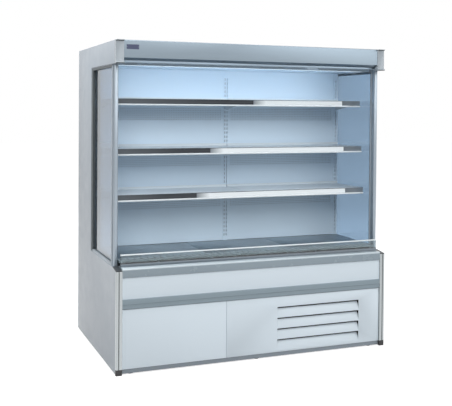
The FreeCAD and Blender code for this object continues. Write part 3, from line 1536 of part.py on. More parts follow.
def thermostat_knob():
    """Knob with a pointer ridge, on a spindle that turns in the box."""
    front = behind("box_setback - switch_play")
    face = f"{front} - knob_length"
    disc = rod("y", (knob_middle, face, controls_z), "knob_length", "knob_radius")
    ridge = block(
        (f"{knob_middle} - spindle / 2", f"{knob_middle} + spindle / 2"),
        (f"{face} - spindle / 2", face),
        (controls_z, f"{controls_z} + knob_radius"),
    )
    shaft = rod("y", (knob_middle, front, controls_z), "knob_length", "spindle")
    node("thermostat_knob", fuse([disc, ridge, shaft]))


# ---------------------------------------------------------------- assembly

base_frame()
levelling_feet()
kick_rail()
rear_grille()
end_panels()
window_frames()
posts()
rear_panel()
roof_panel()
insulated_tub()
corner_trims()
bumper_rail()
front_strip()
nosing()
riser()
plain_panel()
louvre_panel()
header_caps()
fascia()
ceiling_panel()
air_comb()
header_lamp()
blind_brackets()
blind_roller()
blind_cloth()
blind_bar()
uprights()
duct_panels()
shelves()
shelf_brackets()
deck()
fan_plate()
fans()
fan_motors()
coils()
unit_tray()
fan_shroud()
compressor()
refrigerant_pipes()
control_box()
power_switch()
thermostat_knob()

doc.recompute()
failed = [o.Label for o in doc.Objects if {"Invalid", "Error"} & set(o.State)]
if failed:
    raise RuntimeError(f"failed objects: {failed}")
for thing in NODES:
    if thing.Shape.isNull() or not thing.Shape.isValid() or not thing.Shape.Solids:
        raise RuntimeError(f"bad shape: {thing.Label}")

os.makedirs("parts", exist_ok=True)
for thing in NODES:
    thing.Shape.exportStep(f"parts/{thing.Label}.step")
print(len(NODES), "nodes,", sum(len(thing.Shape.Solids) for thing in NODES), "solids")
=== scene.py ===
import json
import math

import bmesh
import bpy
from mathutils import Matrix, Vector


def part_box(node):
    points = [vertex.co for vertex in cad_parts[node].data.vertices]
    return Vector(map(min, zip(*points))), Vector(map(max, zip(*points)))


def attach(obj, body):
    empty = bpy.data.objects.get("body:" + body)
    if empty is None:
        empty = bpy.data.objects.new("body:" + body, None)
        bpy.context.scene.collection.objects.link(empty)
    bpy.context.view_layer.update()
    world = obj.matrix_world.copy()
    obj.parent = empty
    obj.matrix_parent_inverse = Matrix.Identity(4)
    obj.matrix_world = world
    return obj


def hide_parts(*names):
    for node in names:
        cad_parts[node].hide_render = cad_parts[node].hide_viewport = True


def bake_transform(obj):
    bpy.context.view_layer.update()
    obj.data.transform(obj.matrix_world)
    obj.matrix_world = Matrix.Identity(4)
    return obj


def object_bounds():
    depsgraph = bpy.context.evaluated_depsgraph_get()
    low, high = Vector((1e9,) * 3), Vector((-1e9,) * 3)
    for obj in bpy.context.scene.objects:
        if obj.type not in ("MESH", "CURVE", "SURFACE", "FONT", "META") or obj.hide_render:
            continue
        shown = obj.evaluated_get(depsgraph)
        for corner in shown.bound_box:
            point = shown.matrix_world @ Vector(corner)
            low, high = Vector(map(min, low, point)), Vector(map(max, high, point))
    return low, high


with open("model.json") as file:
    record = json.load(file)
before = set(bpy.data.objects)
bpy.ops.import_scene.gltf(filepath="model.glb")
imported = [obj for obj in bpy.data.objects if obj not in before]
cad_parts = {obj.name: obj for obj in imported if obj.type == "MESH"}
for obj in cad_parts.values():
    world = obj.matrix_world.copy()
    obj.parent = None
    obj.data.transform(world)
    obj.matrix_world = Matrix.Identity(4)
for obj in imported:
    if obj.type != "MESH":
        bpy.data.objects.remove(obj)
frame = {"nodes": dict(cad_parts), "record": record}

cad_low, cad_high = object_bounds()


# ---- Base frame -------------------------------------------------------------------------------
# Square steel tube, mitred, welded and painted dark grey before the body is foamed on to it.
# Sills, cross bars, uprights and the top rails that carry the tub.

def added(tree, kind, inputs, **settings):
    """A new node: its settings first, then its inputs, linked where the value is a socket."""
    node = tree.nodes.new(kind)
    for setting, value in settings.items():
        setattr(node, setting, value)
    for name, value in inputs.items():
        if isinstance(value, bpy.types.NodeSocket):
            tree.links.new(value, node.inputs[name])
        else:
            node.inputs[name].default_value = value
    return node


def texture_space(tree, stretch=(1, 1, 1), turn=(0, 0, 0)):
    """Object coordinates, drawn out along the axes that a finish runs along."""
    place = tree.nodes.new("ShaderNodeTexCoord").outputs["Object"]
    inputs = {"Scale": stretch, "Rotation": turn, "Vector": place}
    return added(tree, "ShaderNodeMapping", inputs).outputs["Vector"]


def grain(tree, scale, stretch=(1, 1, 1), detail=2.0):
    inputs = {"Scale": scale, "Detail": detail, "Vector": texture_space(tree, stretch)}
    return added(tree, "ShaderNodeTexNoise", inputs).outputs["Fac"]


def between(tree, factor, low, high):
    """A value that moves between two ends with a texture, most of which lies from 0.3 to 0.7."""
    inputs = {"From Min": 0.3, "From Max": 0.7, "To Min": low, "To Max": high, "Value": factor}
    return added(tree, "ShaderNodeMapRange", inputs).outputs["Result"]


def shaded(tree, factor, first, second):
    """A colour that moves between two shades with a texture."""
    inputs = {"A": (*first, 1), "B": (*second, 1), "Factor": factor}
    return added(tree, "ShaderNodeMix", inputs, data_type="RGBA").outputs["Result"]


def raised(tree, shader, height, distance, strength=1.0):
    bump = added(tree, "ShaderNodeBump", {"Distance": distance, "Strength": strength, "Height": height})
    tree.links.new(bump.outputs["Normal"], shader.inputs["Normal"])


def surfaced(tree, shader, colour, gloss):
    tree.links.new(colour, shader.inputs["Base Color"])
    tree.links.new(gloss, shader.inputs["Roughness"])


def new_finish(name, metallic=0.0):
    material = bpy.data.materials.new(name)
    material.use_nodes = True
    shader = material.node_tree.nodes["Principled BSDF"]
    shader.inputs["Metallic"].default_value = metallic
    return material, material.node_tree, shader


def coating(name, colour, gloss=(0.32, 0.42), drift=0.03, peel=0.00025, peel_scale=260):
    """Baked paint: the shade drifts a little over a sheet and the film has a fine orange peel."""
    material, tree, shader = new_finish(name)
    lighter = [min(1, channel * (1 + drift)) for channel in colour]
    darker = [channel * (1 - drift) for channel in colour]
    shade = shaded(tree, grain(tree, 2.2, detail=3), darker, lighter)
    surfaced(tree, shader, shade, between(tree, grain(tree, 14, detail=4), *gloss))
    raised(tree, shader, grain(tree, peel_scale), peel, 0.4)
    return material


def dress(node, material):
    """Gives a CAD node its finish."""
    thing = frame["nodes"][node]
    thing.data.materials.clear()
    thing.data.materials.append(material)


frame_paint = coating("frame_paint", (0.09, 0.10, 0.115), (0.4, 0.55), 0.12)
dress("base_frame", frame_paint)


# ---- Levelling feet ---------------------------------------------------------------------------
# Rubber pads moulded round the head of a zinc-plated stud, each with a thin lock nut that is run
# up against the sill once the cabinet stands level.

def linked(name, data):
    thing = bpy.data.objects.new(name, data)
    bpy.context.scene.collection.objects.link(thing)
    return thing


def piece(name, build, materials):
    """A new object at the origin from a mesh that is built in place."""
    work = bmesh.new()
    build(work)
    bmesh.ops.remove_doubles(work, verts=work.verts, dist=1e-6)
    bmesh.ops.recalc_face_normals(work, faces=work.faces)
    mesh = bpy.data.meshes.new(name)
    work.to_mesh(mesh)
    work.free()
    for material in materials:
        mesh.materials.append(material)
    return linked(name, mesh)


def shade_smooth(mesh):
    for face in mesh.polygons:
        face.use_smooth = True


def smooth(thing, angle=35):
    """Smooth shading that stops at the real corners."""
    shade_smooth(thing.data)
    thing.data.set_sharp_from_angle(angle=math.radians(angle))


def fit(thing, body, slot, *nodes):
    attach(thing, body)
    if nodes:
        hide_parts(*nodes)


def placed(name, build, materials, slot, *nodes, body="cabinet", angle=None):
    """A new piece that rides with a body, smooth up to an angle where one is given."""
    thing = piece(name, build, materials)
    if angle:
        smooth(thing, angle)
    fit(thing, body, slot, *nodes)
    return thing


def turned(work, profile, centre=(0, 0, 0), along_x=False, sides=24):
    """A closed form turned from (radius, height) points about an upright axis, or one along X."""
    place = Matrix.Translation(centre)
    if along_x:
        place = place @ Matrix.Rotation(math.pi / 2, 4, "Y")
    rings = []
    for radius, height in profile:
        if radius < 1e-6:
            rings.append([work.verts.new(place @ Vector((0, 0, height)))])
            continue
        ring = []
        for step in range(sides):
            angle = 2 * math.pi * step / sides
            point = Vector((radius * math.cos(angle), radius * math.sin(angle), height))
            ring.append(work.verts.new(place @ point))
        rings.append(ring)
    for lower, upper in zip(rings, rings[1:]):
        for step in range(max(len(lower), len(upper))):
            following = (step + 1) % sides
            corners = []
            corners += [lower[0]] if len(lower) == 1 else [lower[step], lower[following]]
            corners += [upper[0]] if len(upper) == 1 else [upper[following], upper[step]]
            if len(set(corners)) > 2:
                work.faces.new(corners)


def mottled(name, shades, scales, gloss, metallic=0.0, detail=2.0):
    """A finish that drifts between two shades, and between two glosses on a scale of its own."""
    material, tree, shader = new_finish(name, metallic)
    shade = shaded(tree, grain(tree, scales[0], detail=detail), *shades)
    surfaced(tree, shader, shade, between(tree, grain(tree, scales[1]), *gloss))
    return material, tree, shader


def cellular(name, scale, shades, gloss, metallic=0.0):
    """A finish that follows small cells, such as the spangle of zinc or the pores of foam."""
    material, tree, shader = new_finish(name, metallic)
    cells = added(tree, "ShaderNodeTexVoronoi", {"Scale": scale, "Vector": texture_space(tree)})
    depth = cells.outputs["Distance"]
    surfaced(tree, shader, shaded(tree, depth, *shades), between(tree, depth, *gloss))
    return material, tree, shader, depth


rubber_shades = ((0.012, 0.012, 0.013), (0.03, 0.03, 0.032))
rubber, tree, shader = mottled("foot_rubber", rubber_shades, (60, 90), (0.7, 0.85))
raised(tree, shader, grain(tree, 900), 0.0002, strength=0.5)
zinc = cellular("zinc_plate", 90, ((0.40, 0.42, 0.44), (0.52, 0.54, 0.56)), (0.3, 0.5), metallic=1.0)[0]

feet_low, feet_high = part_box("levelling_feet")
sill_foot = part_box("base_frame")[0].z
pad_radius, pad_height, stud_radius = 0.021, 0.009, 0.0058
pad_lip, pad_edge, pad_shoulder, pad_neck = 0.002, 0.004, 0.007, 0.010
nut_radius, nut_height, nut_gap = 0.0108, 0.0100, 0.0002
thread_pitch, thread_depth, thread_start, thread_end = 0.0015, 0.0007, 0.0003, 0.002
foot_x = feet_high.x - pad_radius
foot_rows = (feet_low.y + pad_radius, feet_high.y - pad_radius)
foot_places = [(x, y) for y in foot_rows for x in (-foot_x, 0, foot_x)]


def foot_pads(work):
    profile = [(0, 0), (pad_radius - pad_lip, 0), (pad_radius, 0.75 * pad_lip), (pad_radius, pad_edge)]
    profile += [(pad_radius - pad_edge, pad_shoulder), (pad_neck, pad_height), (0, pad_height)]
    for x, y in foot_places:
        turned(work, profile, (x, y, 0), sides=32)


def foot_studs(work):
    nut_top = sill_foot - nut_gap
    nut_foot = nut_top - nut_height
    chamfer = 0.0008
    nut = [(0, nut_foot), (nut_radius - chamfer, nut_foot), (nut_radius, nut_foot + chamfer)]
    nut += [(nut_radius, nut_top - chamfer), (nut_radius - chamfer, nut_top), (0, nut_top)]
    thread = [(0, pad_height)]
    for step in range(int((feet_high.z - pad_height - thread_end) / thread_pitch)):
        low = pad_height + thread_start + step * thread_pitch
        thread += [(stud_radius - thread_depth, low), (stud_radius, low + thread_pitch / 2)]
    thread += [(stud_radius - 0.001, feet_high.z), (0, feet_high.z)]
    for x, y in foot_places:
        turned(work, nut, (x, y, 0), sides=6)
        turned(work, thread, (x, y, 0), sides=20)


placed("foot_pads", foot_pads, [rubber], "rubber_foot", "levelling_feet", angle=35)
placed("foot_studs", foot_studs, [zinc], "galvanised", angle=30)


# ---- Kick rail --------------------------------------------------------------------------------
# A folded steel strip under the lower panels, coated mid grey and screwed to the front sill. Feet
# and mops leave it duller in places.

kick_grey = coating("kick_grey", (0.24, 0.28, 0.32), (0.35, 0.6), 0.08)


def merged(mesh):
    """A working copy of a CAD mesh with its triangles joined and its flats made whole again."""
    work = bmesh.new()
    work.from_mesh(mesh)
    bmesh.ops.remove_doubles(work, verts=work.verts, dist=1e-5)
    bmesh.ops.dissolve_limit(work, angle_limit=math.radians(0.5), verts=work.verts, edges=work.edges)
    return work


def eased(mesh, name, material, ease=0.0008, segments=2):
    """A plain mesh as a piece with every sharp edge eased, as paint, rolling and moulding leave it."""
    work = merged(mesh)
    clean = bpy.data.meshes.new(name)
    work.to_mesh(clean)
    work.free()
    thing = linked(name, clean)
    clean.materials.append(material)
    shade_smooth(clean)
    bevel = thing.modifiers.new("ease", "BEVEL")
    bevel.width = ease
    bevel.segments = segments
    bevel.limit_method = "ANGLE"
    bevel.angle_limit = math.radians(28)
    bevel.harden_normals = True
    applied(thing)
    return thing


def softened(node, name, material, slot, ease=0.0008, segments=2, body="cabinet"):
    """The CAD node's own solids with their edges eased, in place of the node."""
    thing = eased(frame["nodes"][node].data, name, material, ease, segments)
    fit(thing, body, slot, node)
    return thing


def applied(thing):
    """The modifiers' result as the piece's own plain mesh."""
    bpy.context.view_layer.update()
    finished = bpy.data.meshes.new_from_object(thing.evaluated_get(bpy.context.evaluated_depsgraph_get()))
    thing.modifiers.clear()
    thing.data = finished


softened("kick_rail", "kick_rail_strip", kick_grey, "body_paint", ease=0.0006)


# ---- Rear grille ------------------------------------------------------------------------------
# Galvanised sheet behind the condensing unit, punched with upright slots for its warm air. A row
# of small screws along the top and one along the foot hold it.

def tree_of(name, sockets):
    """An empty geometry tree with named inputs, which ends in one mesh with one material."""
    tree = bpy.data.node_groups.new(name, "GeometryNodeTree")
    tree.interface.new_socket("Geometry", in_out="INPUT", socket_type="NodeSocketGeometry")
    for label, kind in sockets:
        tree.interface.new_socket(label, in_out="INPUT", socket_type="NodeSocket" + kind)
    tree.interface.new_socket("Geometry", in_out="OUTPUT", socket_type="NodeSocketGeometry")
    return tree, tree.nodes.new("NodeGroupInput").outputs


def closed_off(tree, given, points):
    """The part at every point; Realize Instances and Set Material are the last steps of every tree."""
    part = added(tree, "GeometryNodeObjectInfo", {"Object": given["Part"]}).outputs["Geometry"]
    placed = added(tree, "GeometryNodeInstanceOnPoints", {"Points": points, "Instance": part})
    real = added(tree, "GeometryNodeRealizeInstances", {"Geometry": placed.outputs["Instances"]})
    inputs = {"Geometry": real.outputs["Geometry"], "Material": given["Finish"]}
    paint = added(tree, "GeometryNodeSetMaterial", inputs)
    added(tree, "NodeGroupOutput", {"Geometry": paint.outputs["Geometry"]})
    return tree


def row_tree():
    """Copies of one small part in rows and columns; Column and Row are the steps between them."""
    steps = [("Start", "Vector"), ("Column", "Vector"), ("Row", "Vector")]
    sockets = [("Columns", "Int"), ("Rows", "Int")] + steps + [("Part", "Object"), ("Finish", "Material")]
    tree, given = tree_of("rows_and_columns", sockets)
    inputs = {"Count": given["Columns"], "Start Location": given["Start"], "Offset": given["Column"]}
    across = added(tree, "GeometryNodeMeshLine", inputs).outputs["Mesh"]
    along = added(tree, "GeometryNodeMeshLine", {"Count": given["Rows"], "Offset": given["Row"]})
    inputs = {"Points": across, "Instance": along.outputs["Mesh"]}
    spread = added(tree, "GeometryNodeInstanceOnPoints", inputs)
    grid = added(tree, "GeometryNodeRealizeInstances", {"Geometry": spread.outputs["Instances"]})
    return closed_off(tree, given, grid.outputs["Geometry"])


def point_tree():
    """One small part at every vertex of the object's own mesh, such as a screw in each hole."""
    tree, given = tree_of("part_at_each_point", [("Part", "Object"), ("Finish", "Material")])
    return closed_off(tree, given, given["Geometry"])


ROWS = row_tree()
POINTS = point_tree()


def grown_from(name, tree, values, points=()):
    """Runs a tree with its inputs set, keeps the result as a plain mesh and drops the modifier."""
    mesh = bpy.data.meshes.new(name)
    mesh.from_pydata([tuple(point) for point in points], [], [])
    thing = linked(name, mesh)
    modifier = thing.modifiers.new("tree", "NODES")
    modifier.node_group = tree
    for socket in tree.interface.items_tree:
        if socket.in_out == "INPUT" and socket.name in values:
            modifier[socket.identifier] = values[socket.name]
    applied(thing)
    return thing


def in_rows(name, build, finish, start, columns, column, rows=1, row=(0, 0, 0)):
    part = piece(name + "_part", build, [finish])
    values = {"Columns": columns, "Rows": rows, "Start": start, "Column": column, "Row": row}
    thing = grown_from(name, ROWS, {**values, "Part": part, "Finish": finish})
    bpy.data.objects.remove(part)
    return thing


def screws(name, places, facing, finish, radius=0.004):
    """Pan-head screws or rivets with a round recess, set in the given places."""
    def head(work):
        height, sunk = radius * 0.55, -0.0005
        profile = [(radius, sunk), (radius, height * 0.35), (radius * 0.82, height * 0.8)]
        profile += [(radius * 0.45, height), (radius * 0.42, height * 0.45), (0, height * 0.35)]
        turned(work, profile, sides=12)
        work.faces.new([v for v in work.verts if abs(v.co.z - sunk) < 1e-7])
        turn = Vector((0, 0, 1)).rotation_difference(Vector(facing)).to_matrix().to_4x4()
        bmesh.ops.transform(work, matrix=turn, verts=work.verts)
    part = piece(name + "_head", head, [finish])
    smooth(part)
    thing = grown_from(name, POINTS, {"Part": part, "Finish": finish}, places)
    bpy.data.objects.remove(part)
    return thing


dress("rear_grille", zinc)
grille_low, grille_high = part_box("rear_grille")
screws_across, end_inset, foot_inset, head_inset = 6, 0.02, 0.019, 0.012
screw_span = grille_high.x - grille_low.x - 2 * end_inset
screw_step = screw_span / (screws_across - 1)
screw_x = [grille_low.x + end_inset + screw_step * number for number in range(screws_across)]
screw_z = (grille_low.z + foot_inset, grille_high.z - head_inset)
grille_screws = [(x, grille_high.y, z) for x in screw_x for z in screw_z]
rear_screws = screws("rear_grille_screws", grille_screws, (0, 1, 0), zinc)
fit(rear_screws, "cabinet", "galvanised")


# ---- Insulated tub ----------------------------------------------------------------------------
# Foam between a moulded grey-white liner and an outer sheet. It holds the fans, the coil and the
# melt water, which leaves through a strainer in the floor.

liner = coating("tub_liner", (0.62, 0.67, 0.70), (0.35, 0.5), 0.03, 0.0004, 120)
dress("insulated_tub", liner)


# ---- Back, roof and end panels ----------------------------------------------------------------
# Coil-coated steel skins over foam, the back riveted in three cassettes. The end panels are cut out
# for the window and slope up to the post at the front, where a dark moulding covers the joint.

panel_grey = coating("panel_grey", (0.35, 0.395, 0.445), (0.30, 0.40), 0.015, 0.00012, 180)
for panel in ("side_panel_left", "side_panel_right"):
    softened(panel, panel + "_skin", panel_grey, "body_paint", ease=0.0022, segments=3)
dress("rear_panel", panel_grey)
dress("roof_panel", panel_grey)
rear_low, rear_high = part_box("rear_panel")


def cover_strip(work, low, high, ease=0.0008, finish=0):
    """A flat strip with eased edges, between two corners."""
    before = set(work.faces)
    made = bmesh.ops.create_cube(work, size=1)["verts"]
    bmesh.ops.scale(work, vec=Vector(high) - Vector(low), verts=made)
    bmesh.ops.translate(work, vec=(Vector(high) + Vector(low)) / 2, verts=made)
    edges = {edge for vertex in made for edge in vertex.link_edges}
    bmesh.ops.bevel(work, geom=list(edges), offset=ease, segments=1, affect="EDGES", clamp_overlap=True)
    for face in set(work.faces) - before:
        face.material_index = finish


def drawn_out(work, outline, low, high, finish=0):
    """A closed profile along X: an outline of (y, z) points drawn from one x to another."""
    ends = [[work.verts.new((x, y, z)) for y, z in outline] for x in (low, high)]
    made = [work.faces.new(ends[0]), work.faces.new(list(reversed(ends[1])))]
    for step in range(len(outline)):
        following = (step + 1) % len(outline)
        made.append(work.faces.new((ends[0][following], ends[0][step], ends[1][step], ends[1][following])))
    for face in made:
        face.material_index = finish


seam_x, cover_half, cover_proud, cover_end = rear_high.x / 3, 0.020, 0.0008, 0.006


def back_covers(work):
    """Flat strips over the joints between the cassettes."""
    for x in (-seam_x, seam_x):
        low = (x - cover_half, rear_high.y - 0.0004, rear_low.z + cover_end)
        high = (x + cover_half, rear_high.y + cover_proud, rear_high.z - cover_end)
        cover_strip(work, low, high, ease=0.0004)


placed("rear_joint_covers", back_covers, [panel_grey], "body_paint")
rivet_rows, rivet_edge, rivet_seam, rivet_end = 11, 0.016, 0.012, 0.03
rivet_x = [rear_low.x + rivet_edge, rear_high.x - rivet_edge]
rivet_x += [seam + offset for seam in (-seam_x, seam_x) for offset in (-rivet_seam, rivet_seam)]
rivet_reach = rear_high.z - rear_low.z - 2 * rivet_end
rivet_places = []
for x in rivet_x:
    face = rear_high.y + (cover_proud if abs(abs(x) - seam_x) < cover_half else 0)
    for step in range(rivet_rows):
        rivet_places.append((x, face, rear_low.z + rivet_end + rivet_reach * step / (rivet_rows - 1)))
rivets = screws("rear_panel_rivets", rivet_places, (0, 1, 0), zinc, radius=0.0032)
fit(rivets, "cabinet", "galvanised")

shoulder_black = coating("shoulder_moulding", (0.045, 0.05, 0.055), (0.35, 0.5), 0.06)
shoulder_foot = Vector((0, cad_low.y + 0.019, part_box("corner_trims")[1].z + 0.0008))
shoulder_head = Vector((0, cad_low.y + 0.0895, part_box("post_left")[0].z))
moulding_outer, moulding_inner = 0.9145, 0.8785
moulding_thick, nose_reach, nose_thick = Vector((0, -0.0006, 0.0042)), 0.0165, 0.0028
for side, sign in (("left", -1), ("right", 1)):
    span = sorted((sign * moulding_outer, sign * moulding_inner))

    def moulding(work):
        """A strip down the slope that ends in a short flat nose over the corner trim."""
        slope = [shoulder_foot, shoulder_head, shoulder_head + moulding_thick, shoulder_foot + moulding_thick]
        nose = shoulder_foot.y - nose_reach
        outline = [(point.y, point.z) for point in slope]
        outline += [(nose, shoulder_foot.z + nose_thick), (nose, shoulder_foot.z)]
        drawn_out(work, outline, *span)
        edges = list(work.edges)
        bmesh.ops.bevel(work, geom=edges, offset=0.0008, segments=2, affect="EDGES", clamp_overlap=True)

    placed(f"shoulder_moulding_{side}", moulding, [shoulder_black], "black_plastic", angle=35)


# ---- End windows ------------------------------------------------------------------------------
# A painted frame holds an insulating unit: two grey-blue toughened panes on an aluminium spacer.
# Dark rubber covers the rear stile and the top rail and is pressed in round the glass. The frame
# is one solid with the sheet that closes the air duct behind it.

window_paint = coating("window_paint", (0.36, 0.41, 0.46), (0.3, 0.4), 0.015, 0.00012, 180)

spacer_shades = ((0.42, 0.44, 0.46), (0.58, 0.60, 0.62))
spacer_metal = mottled("spacer_metal", spacer_shades, (500, 200), (0.35, 0.5), metallic=1.0)[0]


def sheet_glass(name, colour):
    """Float glass: coloured through, with a faint unevenness that only shows in reflections."""
    material, tree, shader = new_finish(name)
    shader.inputs["Base Color"].default_value = (*colour, 1)
    shader.inputs["Transmission Weight"].default_value = 1.0
    shader.inputs["IOR"].default_value = 1.45
    tree.links.new(between(tree, grain(tree, 6, detail=4), 0.0, 0.03), shader.inputs["Roughness"])
    return material


window_glass = sheet_glass("window_glass", (0.50, 0.60, 0.70))
gasket_shades = ((0.055, 0.068, 0.075), (0.078, 0.094, 0.104))
gasket_rubber = mottled("gasket_rubber", gasket_shades, (40, 120), (0.45, 0.6))[0]


def island_of(vertex):
    """All vertices joined to this one."""
    found, waiting = {vertex}, [vertex]
    while waiting:
        for edge in waiting.pop().link_edges:
            for other in edge.verts:
                if other not in found:
                    found.add(other)
                    waiting.append(other)
    return found


def split_solids(node):
    """The node's separate solids as meshes, the largest box first, each with its two corners."""
    work = bmesh.new()
    work.from_mesh(frame["nodes"][node].data)
    bmesh.ops.remove_doubles(work, verts=work.verts, dist=1e-5)
    left, found = set(work.verts), []
    while left:
        group = island_of(next(iter(left)))
        left -= group
        order = {vertex: index for index, vertex in enumerate(sorted(group, key=lambda v: v.index))}
        faces = [[order[v] for v in face.verts] for face in work.faces if face.verts[0] in order]
        mesh = bpy.data.meshes.new(node + "_solid")
        mesh.from_pydata([tuple(v.co) for v in order], [], faces)
        low = Vector([min(v.co[i] for v in group) for i in range(3)])
        high = Vector([max(v.co[i] for v in group) for i in range(3)])
        span = high - low
        found.append((round(-span.x * span.y * span.z, 7), low.x, low.z, mesh, low, high))
    work.free()
    return [entry[3:] for entry in sorted(found, key=lambda entry: entry[:3])]


def skinned(work, loops, closed=True):
    """Quads between vertex loops that follow one another; an open loop isn't joined to its start."""
    for first, second in zip(loops, loops[1:]):
        for step in range(len(first) if closed else len(first) - 1):
            following = (step + 1) % len(first)
            work.faces.new((first[step], first[following], second[following], second[step]))


def ring_strip(work, x, y_span, z_span, width, thick):
    """A rectangular ring in a plane square to X, mitred at its corners and crowned."""
    loops = []
    for inset, out in ((0, 0), (width * 0.25, thick), (width * 0.75, thick), (width, 0)):
        low_y, high_y = y_span[0] + inset, y_span[1] - inset
        low_z, high_z = z_span[0] + inset, z_span[1] - inset
        corners = [(low_y, low_z), (high_y, low_z), (high_y, high_z), (low_y, high_z)]
        loops.append([work.verts.new((x + out, y, z)) for y, z in corners])
    skinned(work, loops + loops[:1])


rail, stile, seal_width, seal_proud, seal_lap = 0.014, 0.034, 0.004, 0.003, 0.001
cover_face, cover_sunk, cover_margin, turn_lap = 0.0014, 0.0002, 0.003, 0.0008
for side, sign in (("left", -1), ("right", 1)):
    rails, spacer = [solid[0] for solid in split_solids(f"window_frame_{side}")]
    body = eased(rails, f"window_rails_{side}", window_paint, ease=0.0015)
    bar = eased(spacer, f"window_spacer_{side}", spacer_metal, ease=0.0005)
    fit(body, "cabinet", "body_paint", f"window_frame_{side}")
    fit(bar, "cabinet", "galvanised")
    dress(f"side_glass_{side}", window_glass)
    glass_low, glass_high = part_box(f"side_glass_{side}")
    frame_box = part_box(f"window_frame_{side}")
    pane_face = glass_high.x if sign > 0 else glass_low.x
    frame_face = frame_box[1].x if sign > 0 else frame_box[0].x
    open_y = (frame_box[0].y + rail, frame_box[1].y - stile)
    open_z = (frame_box[0].z + rail, frame_box[1].z - rail)

    def seal_ring(work):
        spans = [(low - seal_lap, high + seal_lap) for low, high in (open_y, open_z)]
        ring_strip(work, pane_face, *spans, seal_width, sign * seal_proud)

    def stile_cover(work):
        """The rubber profiles on the rear stile and the top rail; each turns in to the glass."""
        proud = frame_face + sign * cover_face
        flat = sorted((frame_face - sign * cover_sunk, proud))
        deep = sorted((pane_face + sign * cover_sunk, proud))
        foot, head = frame_box[0].z + cover_margin, frame_box[1].z - cover_margin
        turn_y = (open_y[1] - 0.0035, open_y[1] + turn_lap)
        turn_z = (open_z[1] - 0.0030, open_z[1] + turn_lap)
        spans = [(flat, (open_y[1], frame_box[1].y - 0.002), (foot, head)),
                 (deep, turn_y, (open_z[0] + seal_lap, open_z[1] - seal_lap)),
                 (flat, (frame_box[0].y + 0.002, open_y[1] + 0.0005), (open_z[1], head)),
                 (deep, (open_y[0] + seal_lap, open_y[1] - cover_margin), turn_z)]
        for span in spans:
            cover_strip(work, *zip(*span), ease=0.0005)

    for name, build in (("window_gasket", seal_ring), ("window_stile_rubber", stile_cover)):
        placed(f"{name}_{side}", build, [gasket_rubber], "black_plastic")


# ---- Front posts ------------------------------------------------------------------------------
# Hollow aluminium extrusions with rounded front corners, satin anodised, between the sill and the
# header. Die lines run along their length.

def drawn_metal(name, colour, gloss, stretch, scale=60, depth=0.00008, metallic=1.0):
    """Extruded or brushed metal: fine lines along one direction and a little unevenness."""
    material, tree, shader = new_finish(name, metallic)
    lines = grain(tree, scale, stretch, detail=3)
    darker = [channel * 0.93 for channel in colour]
    surfaced(tree, shader, shaded(tree, lines, darker, colour), between(tree, lines, *gloss))
    raised(tree, shader, lines, depth, 0.35)
    return material


post_metal = drawn_metal("post_aluminium", (0.33, 0.385, 0.44), (0.26, 0.36), (40, 40, 0.4), metallic=0.5)
for side in ("left", "right"):
    softened(f"post_{side}", f"post_{side}_extrusion", post_metal, "satin_aluminium", ease=0.0006)


# ---- Corner trims and foot caps ---------------------------------------------------------------
# Polished aluminium extrusions that cover the body's front corners: a flat, a groove whose faces
# are painted dark as shade, and a rounded bead. A black cap closes the foot of each.

def zoned(thing, material, belongs):
    """A second finish on the faces that a test picks, such as a rubber insert or a painted flank."""
    thing.data.materials.append(material)
    for face in thing.data.polygons:
        if belongs(face.center, face.normal):
            face.material_index = len(thing.data.materials) - 1


trim_metal = drawn_metal("trim_aluminium", (0.36, 0.385, 0.395), (0.16, 0.26), (50, 50, 0.5))
# The groove's faces get a dark grey finish: painted shade in the recess.
groove_painted_shade = coating("trim_groove", (0.16, 0.175, 0.18), (0.3, 0.4), 0.05)
foot_black = coating("foot_cap_black", (0.02, 0.02, 0.022), (0.35, 0.5), 0.1)
bead_inner, groove_inner, groove_floor = 0.9005, 0.8945, 0.0004
trim_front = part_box("corner_trims")[0].y


def in_groove(centre, normal):
    return groove_inner < abs(centre.x) < bead_inner and centre.y > trim_front + groove_floor


for number, (mesh, low, high) in enumerate(split_solids("corner_trims")):
    side = "left" if low.x < 0 else "right"
    trim = eased(mesh, f"corner_trim_{side}", trim_metal, ease=0.0007)
    zoned(trim, groove_painted_shade, in_groove)
    fit(trim, "cabinet", "bright_aluminium", *(["corner_trims"] if number == 0 else []))
for number, (mesh, low, high) in enumerate(split_solids("corner_foot_caps")):
    side = "left" if low.x < 0 else "right"
    cap = eased(mesh, f"foot_cap_{side}", foot_black, ease=0.0012)
    fit(cap, "cabinet", "black_plastic", *(["corner_foot_caps"] if number == 0 else []))


# ---- Bumper rail ------------------------------------------------------------------------------
# Grey plastic profile clipped over the lower panels to take the knocks of trolleys; its lower half
# steps back.

bumper_plastic = coating("bumper_plastic", (0.25, 0.315, 0.36), (0.42, 0.55), 0.03, 0.0004, 500)
softened("bumper_rail", "bumper_profile", bumper_plastic, "bumper_grey", ease=0.0012, segments=3)


# ---- Front strip and lower panels -------------------------------------------------------------
# Folded steel panels with a satin white powder coat. The strip is fixed; the two lower ones hang
# on hooks and spring clips and lift off.

white_coat = coating("white_powder_coat", (0.70, 0.79, 0.865), (0.34, 0.44), 0.012, 0.0002, 240)
softened("front_strip", "front_strip_sheet", white_coat, "white_paint", ease=0.0012, segments=3)
softened("plain_panel", "service_panel", white_coat, "white_paint",
         ease=0.001, segments=3, body="plain_panel")


# ---- Louvred panel ----------------------------------------------------------------------------
# The same sheet with one opening, and four curved blades pressed into it that are flush at the
# foot and turn in at the head. A black filter mat behind them keeps dust off the condenser.

